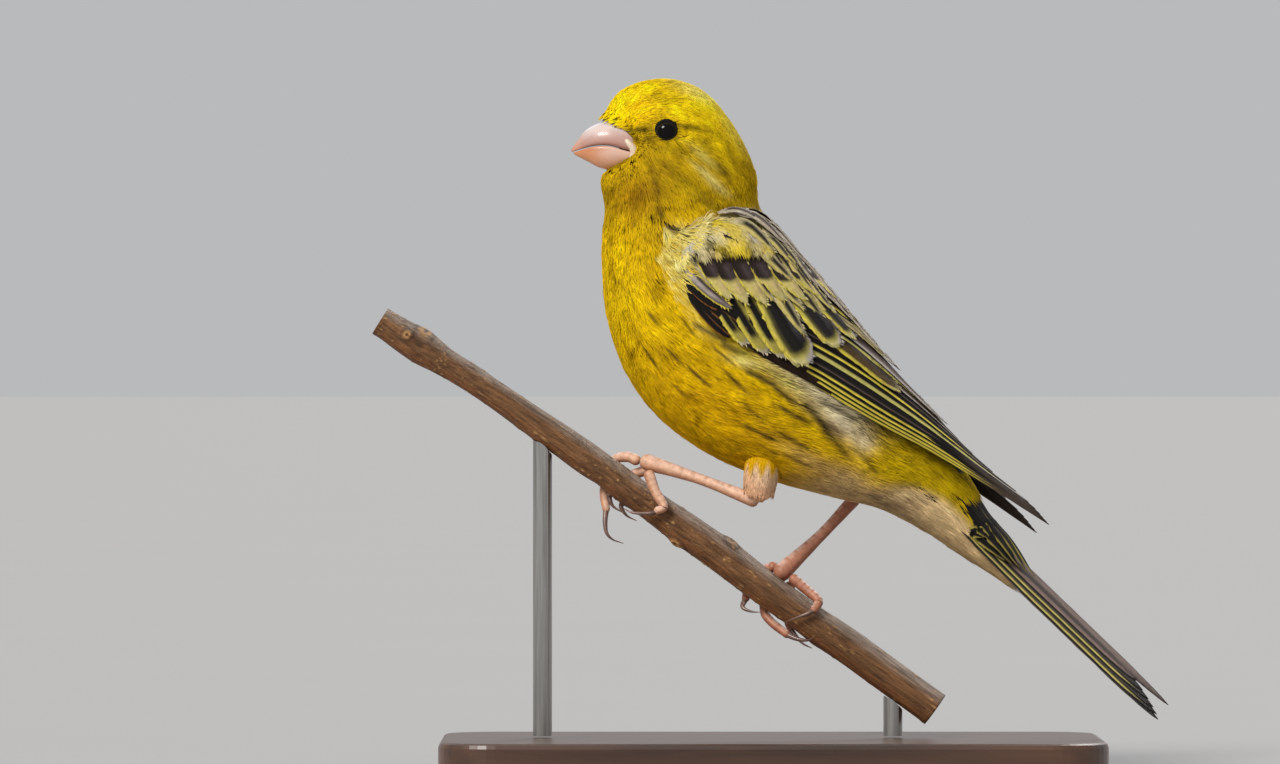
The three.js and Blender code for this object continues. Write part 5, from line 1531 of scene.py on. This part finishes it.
BARK_SPOTS = 330
BRANCH_LENGTH = 108.0
BRANCH_ROWS = 470
BRANCH_COLUMNS = 96


def branch():
    rng = np.random.default_rng(61)
    s, a = grid(np.linspace(0, 1, BRANCH_ROWS), round_angles(BRANCH_COLUMNS, -np.pi))
    centre = spline(BRANCH_LINE, s)
    ahead = unit(spline(BRANCH_LINE, s + 0.002) - spline(BRANCH_LINE, s - 0.002))
    up = np.stack([-ahead[..., 2], 0 * s, ahead[..., 0]], -1)
    radius = spline(BRANCH_RADII, s)[..., 0]
    place = np.stack([np.cos(a) * radius, np.sin(a) * radius, s * BRANCH_LENGTH], -1)
    raised = 0.05 * waves(place * [1, 1, 0.16], 62, 1.0) + 0.1 * waves(place * [1, 1, 0.4], 63, 4.0)
    light = np.zeros_like(radius)
    dark = np.zeros_like(radius)
    for x, degrees, height, reach_along, reach_round in BARK_KNOTS:
        da = wrapped(a - np.radians(degrees))
        gap = ((centre[..., 0] - x) / (reach_along * 0.8)) ** 2 + (da * radius / reach_round) ** 2
        raised += height * (np.exp(-gap) - 0.5 * np.exp(-gap * 9))
        light += 0.7 * np.exp(-((gap**0.5 - 0.45) ** 2) / 0.04)
        dark += 0.8 * np.exp(-gap * 14) + 0.5 * np.exp(-((gap**0.5 - 1.1) ** 2) / 0.05)
    for _ in range(BARK_SPOTS):
        along = rng.uniform(0, 1)
        angle = rng.uniform(-np.pi, np.pi)
        reach = rng.uniform(0.12, 0.3)
        da = wrapped(a - angle)
        gap = ((s - along) * BRANCH_LENGTH / reach / rng.uniform(0.9, 1.6)) ** 2
        gap += (da * radius / (reach * 0.8)) ** 2
        raised += 0.09 * np.exp(-gap)
        light += rng.uniform(0.5, 1.0) * np.exp(-gap)
        dark += 0.4 * np.exp(-((gap**0.5 - 1.5) ** 2) / 0.1)
    wide = np.minimum(radius + raised, radius + 0.9)
    rings = centre + up * (np.cos(a) * wide)[..., None]
    rings[..., 1] += np.sin(a) * wide
    points, faces = capped_tube(rings)
    # Paler and greyer along the top: the bark's own grey, with painted sheen
    base = mix(colour(136, 96, 60), colour(166, 148, 134), smooth(np.cos(a), 0.2, 0.8))
    base = mix(base, colour(146, 92, 44), smooth(np.cos(a), -0.2, -0.9))
    base = mix(base, colour(58, 36, 22), np.clip(dark, 0, 0.8))
    base = mix(base, colour(226, 176, 112), np.clip(light, 0, 0.9))
    marks = np.vstack([base.reshape(-1, 3), np.broadcast_to(colour(176, 140, 96), (2, 3))])
    place = np.vstack([place.reshape(-1, 3), [[0, 0, 0], [0, 0, BRANCH_LENGTH]]])
    piece = make_object("branch", points, faces, bark_material(), marks, places=place)
    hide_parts("perch")


# Legs

LEGS = {
    "left": {
        "thigh": ([(-1.0, -4.5, 53.0), (-1.7, -5.9, 48.0), (-2.3, -5.7, 43.1)], [2.3, 2.7, 2.3]),
        "tarsus": ([(-3.0, -5.7, 43.4), (-11.2, -3.2, 46.6), (-19.6, -0.5, 49.3)], [1.1, 0.85, 1.3]),
        "toes": [
            ([(-23.8, 14, 1.9), (-25.0, 22, 1.6), (-26.0, 50, 1.1), (-25.8, 90, 1.1), (-24.8, 136, 1.3),
              (-23.2, 160, 2.6)],
             [(-22.4, 170, 4.0), (-21.4, 176, 5.2), (-20.3, 177, 5.5), (-18.9, 178, 5.0)]),
            ([(-22.2, 30, 1.7), (-23.2, 62, 1.1), (-24.2, 100, 1.1), (-24.0, 136, 1.2)],
             [(-23.4, 150, 1.4), (-22.5, 157, 1.6), (-21.0, 161, 1.3)]),
            ([(-20.8, 40, 1.6), (-20.6, 76, 1.1), (-21.4, 110, 1.1), (-22.0, 132, 1.1)],
             [(-21.8, 146, 1.3), (-20.6, 156, 1.5), (-19.2, 160, 1.1)]),
            ([(-21.4, -34, 1.9), (-19.6, -54, 1.15), (-17.6, -74, 1.15), (-17.9, -92, 1.1)],
             [(-18.4, -108, 1.0), (-20.2, -138, 1.1), (-21.4, -146, 1.1)]),
        ],
    },
    "right": {
        "thigh": ([(12.6, 6.0, 50.0), (12.8, 5.8, 46.6), (12.9, 5.6, 43.6)], [3.0, 2.3, 1.5]),
        "tarsus": ([(12.9, 5.6, 43.2), (7.8, 3.4, 37.8), (1.6, 0.8, 32.0)], [1.05, 0.9, 1.45]),
        "toes": [
            ([(-1.8, 30, 1.3), (-2.6, 66, 1.1), (-2.8, 108, 1.1), (-2.2, 146, 1.2)],
             [(-1.9, 164, 2.0), (-0.8, 174, 1.7), (0.3, 186, 0.9)]),
            ([(-0.2, 46, 1.3), (-0.4, 84, 1.1), (0.2, 128, 1.1), (1.6, 158, 1.3), (4.6, 180, 1.3)],
             [(6.0, 193, 1.0), (7.1, 212, 0.7), (7.6, 236, 0.7)]),
            ([(1.4, 50, 1.3), (2.0, 84, 1.1), (3.4, 116, 1.1), (4.6, 140, 1.1)],
             [(5.6, 152, 1.1), (7.0, 166, 1.1), (8.2, 184, 0.8)]),
            ([(1.2, -6, 1.2), (3.4, -14, 1.1), (5.4, -30, 1.15), (5.6, -62, 1.1)],
             [(5.2, -78, 1.0), (4.5, -98, 0.85), (3.6, -128, 1.0)]),
        ],
    },
}
TOE_RADII = [0.85, 0.8, 0.72, 0.62]
CLAW_RADII = [0.48, 0.36, 0.2, 0.06]


def leg_materials():
    scales, tree, shader, marks = marked_material("leg_scales")
    tone = shaded(tree, marks, noise(tree, 1500, 4), (0.78, 0.76, 0.76), (1.16, 1.14, 1.12))
    set_inputs(tree, shader, tone, Roughness=0.48, Subsurface_Weight=0.1, Subsurface_Scale=0.0008)
    set_bump(tree, shader, noise(tree, 2600, 3), 0.00005, 0.7)
    horn, tree, shader = new_material("claw_horn")
    tone = ramp(tree, noise(tree, 900, 3, (0.4, 1, 1)), colour(84, 60, 52), colour(132, 100, 88))
    set_inputs(tree, shader, tone, Roughness=0.32, Coat_Weight=0.1)
    return scales, horn


# Skin colours of the legs; the far, right leg is painted darker as painted shade
LEG_TINTS_AND_SHADE = {"left": colour(226, 180, 150), "right": colour(184, 124, 96)}
# A painted sheen over the legs' tops, and painted shade that darkens their undersides
LEG_SHEEN = colour(236, 206, 196)
LEG_UNDER_SHADE = np.array([0.74, 0.6, 0.52])


def scaled_limb(name, points, radii, scutes, material, tint, slot="leg_scales", sides=20, steps=None,
                step_height=0.04):
    """A leg piece with overlapping scutes over its upper side and small pads below."""
    steps = steps or scutes * 8
    inside = np.linspace(0, 1, steps + 1)
    ends = np.array([0.0, 0.25, 0.55, 0.8, 0.95])
    start = [(0.0, -(1 - e), np.sin(np.arccos(1 - e))) for e in ends]
    finish = [(1.0, 1 - e, np.sin(np.arccos(1 - e))) for e in ends[::-1]]
    line = [(share, 0.0, 1.0) for share in inside]
    rings = []
    shades = []
    angle = round_angles(sides)
    for share, beyond, scale in start + line + finish:
        centre = spline(points, share)
        ahead = unit(spline(points, share + 0.01) - spline(points, share - 0.01))
        sideways = unit(np.array([0, 1, 0]) - ahead * ahead[1])
        upward = np.cross(ahead, sideways)
        if upward[2] < -0.3:
            upward, sideways = -upward, -sideways
        radius = spline(radii, share)[0]
        phase = share * scutes % 1.0
        ridge = step_height * (phase - 0.5) * (0.5 + 0.5 * np.cos(angle)) ** 0.5
        pads = 0.5 * step_height * np.cos(2 * np.pi * share * scutes * 0.5) * (0.5 - 0.5 * np.cos(angle))
        reach = np.maximum(radius + ridge + pads, 0.02) * max(scale, 0.02)
        centre = centre + ahead * beyond * radius * 0.9
        ring = centre + upward * (np.cos(angle) * reach)[:, None]
        rings.append(ring + sideways * (np.sin(angle) * reach)[:, None])
        dark = 0.9 + 0.1 * smooth(phase, 0.0, 0.3)
        shade = tint * dark * np.ones((sides, 1))
        # Painted sheen along the top and painted shade on the underside
        shade = mix(shade, LEG_SHEEN, 0.6 * smooth(np.cos(angle), 0.2, 0.95) * smooth(phase, 0.0, 0.4))
        shade = mix(shade, shade * LEG_UNDER_SHADE, smooth(np.cos(angle), 0.0, -0.7))
        shades.append(np.clip(shade, 0, 1))
    made, faces = capped_tube(np.array(rings))
    marks = np.array(shades).reshape(-1, 3)
    marks = np.vstack([marks, marks[:1], marks[-1:]])
    return make_object(name, made, faces, material, marks)


def legs():
    scales, horn = leg_materials()
    for word, leg in LEGS.items():
        tint = LEG_TINTS_AND_SHADE[word]
        piece = scaled_limb(f"shank_{word}", *leg["tarsus"], 9, scales, tint, step_height=0.02)
        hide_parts(f"tarsus_{word}")
        for k, (toe, claw) in enumerate(leg["toes"], 1):
            toe_points = [by_branch(*p) for p in toe]
            claw_points = [toe_points[-1], *[by_branch(*p) for p in claw]]
            piece = scaled_limb(f"digit_{word}_{k}", toe_points, TOE_RADII, 9, scales, tint, sides=16)
            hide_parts(f"toe_{word}_{k}")
            piece = scaled_limb(f"nail_{word}_{k}", claw_points, CLAW_RADII, 1, horn, tint, "claw_horn",
                                sides=12, steps=24, step_height=0.0)
            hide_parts(f"claw_{word}_{k}")


THIGH_PALE = colour(230, 202, 166)
THIGH_PINK = colour(228, 172, 132)
THIGH_SPACING = ([0], [0.38])


def thighs():
    for side, word in SIDES:
        points, radii = LEGS[word]["thigh"]
        tube = limb_surface(points, radii)
        rng = np.random.default_rng(70 + side)
        along, turn = grid(np.linspace(-0.1, 1.0, 60), round_angles(40))
        point, _, _, outward = surface_frame(tube, along, turn)
        round_end = smooth(along, 1.02, 0.86)[..., None]
        centre = point.mean(1, keepdims=True)
        made, faces = capped_tube(centre + (point - outward * 0.25 - centre) * (0.35 + 0.65 * round_end))
        shade = np.broadcast_to(THIGH_PINK, (len(made), 3)) * 0.9
        piece = make_object(f"thigh_skin_{word}", made, faces, PLUMAGE, shade)
        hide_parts(f"thigh_{word}")
        s, a = scatter(tube, (-0.1, 0.82), (0, 2 * np.pi), THIGH_SPACING, rng)
        blades, shading, across, steps, rings = tufts(
            tube, s, a, depth=0.25, length=2.2 - 0.8 * smooth(s, 0.4, 0.8), width=0.7, lift=0.02, count=5,
            fan=0.05, rng=rng, segments=2, blade=0.15, scatter_heading=0.03,
        )
        base = mix(THIGH_PALE, THIGH_PINK, smooth(rings[0], 0.3, 1.0))
        base = mix(base, THIGH_PINK, 0.6 * smooth(np.cos(rings[1]), 0.0, -0.8))
        base = mix(base, YELLOW_BELLY, smooth(rings[0] + 0.06 * np.sin(9 * rings[1]), 0.6, 0.46))
        shade = tuft_colours(base, np.zeros(len(s)), across, steps, rng, 0.9)
        uv = bake_map(unwrap(s, wrapped(a), (-0.4, 1.4)), across, steps)
        coat_piece(f"thigh_feathers_{word}", blades, shading, shade, uv, 2)


# Stand and stage

def stand_materials():
    wood, tree, shader = new_material("base_wood")
    grain = noise(tree, 60, 8, (0.25, 3.2, 3.2), 0.6)
    tone = ramp(tree, grain, colour(52, 34, 24), colour(96, 64, 44))
    set_inputs(tree, shader, tone, Roughness=0.38, Coat_Weight=0.2, Coat_Roughness=0.25)
    set_bump(tree, shader, noise(tree, 300, 5, (0.2, 3.0, 3.0)), 0.00008, 0.6)
    steel, tree, shader = new_material("rod_steel")
    brushed = noise(tree, 1800, 3, (1, 1, 0.03))
    tone = ramp(tree, brushed, colour(150, 148, 144), colour(190, 188, 184))
    set_inputs(tree, shader, tone, Metallic=1.0, Roughness=0.32)
    set_bump(tree, shader, brushed, 0.00002, 0.5)
    for node, material in (("stand_base", wood), ("stand_rod_front", steel), ("stand_rod_back", steel)):
        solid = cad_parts[node]
        solid.data.materials.clear()
        solid.data.materials.append(material)


FLOOR_HALF = 40000


def stage():
    material, tree, shader = new_material("floor")
    tone = ramp(tree, noise(tree, 9, 3), 3 * [0.4], 3 * [0.405])
    set_inputs(tree, shader, tone, Roughness=0.8)
    points = FLOOR_HALF * np.array([(-1, -1, 0), (1, -1, 0), (1, 1, 0), (-1, 1, 0)], float)
    mesh = bpy.data.meshes.new("floor")
    mesh.from_pydata([tuple(p * MM) for p in points], [], [(0, 1, 2, 3)])
    mesh.materials.append(material)
    floor = bpy.data.objects.new("floor", mesh)
    bpy.context.scene.collection.objects.link(floor)


def aim(thing, target):
    """Points an object's -Z at a target in millimetres."""
    direction = Vector(np.array(target) * MM - np.array(thing.location))
    thing.rotation_euler = direction.to_track_quat("-Z", "Y").to_euler()


def sun_light(name, place, target, strength, spread, tint):
    """A soft distant light from the direction of a place, spread over a disc of some degrees."""
    data = bpy.data.lights.new(name, "SUN")
    data.angle = np.radians(spread)
    data.energy = strength
    data.color = tint
    light = bpy.data.objects.new(name, data)
    light.location = np.array(place) * MM
    bpy.context.scene.collection.objects.link(light)
    aim(light, target)


WORLD_LIGHT = 0.5
VIEW_CENTRE = (-20.7, 0.0, 61.86)
VIEW_WIDTH = 200.96
CAMERA_DISTANCE = 1550
SENSOR = 36


def camera_and_light():
    data = bpy.data.cameras.new("camera")
    data.sensor_width = SENSOR
    data.lens = SENSOR * CAMERA_DISTANCE / VIEW_WIDTH
    data.clip_start = 0.05
    data.clip_end = 50
    camera = bpy.data.objects.new("camera", data)
    camera.location = (VIEW_CENTRE[0] * MM, -CAMERA_DISTANCE * MM, VIEW_CENTRE[2] * MM)
    bpy.context.scene.collection.objects.link(camera)
    aim(camera, VIEW_CENTRE)
    bpy.context.scene.camera = camera
    sun_light("key", (-420, -560, 600), (0, 0, 70), 2.5, 18, (1.0, 0.975, 0.93))
    sun_light("back", (300, 600, 600), (0, 0, 70), 1.1, 24, (1.0, 0.98, 0.95))
    world = bpy.data.worlds.new("world")
    world.use_nodes = True
    world.node_tree.nodes["Background"].inputs["Color"].default_value = (0.97, 0.98, 1.0, 1)
    world.node_tree.nodes["Background"].inputs["Strength"].default_value = WORLD_LIGHT
    bpy.context.scene.world = world
    bpy.context.scene.view_settings.view_transform = "Standard"


skin_piece()
head_coat()
trunk_coat()
for wing_side, wing_word in SIDES:
    wing(wing_side, wing_word)
tail()
bill()
eyes()
branch()
legs()
thighs()
stand_materials()
stage()
camera_and_light()
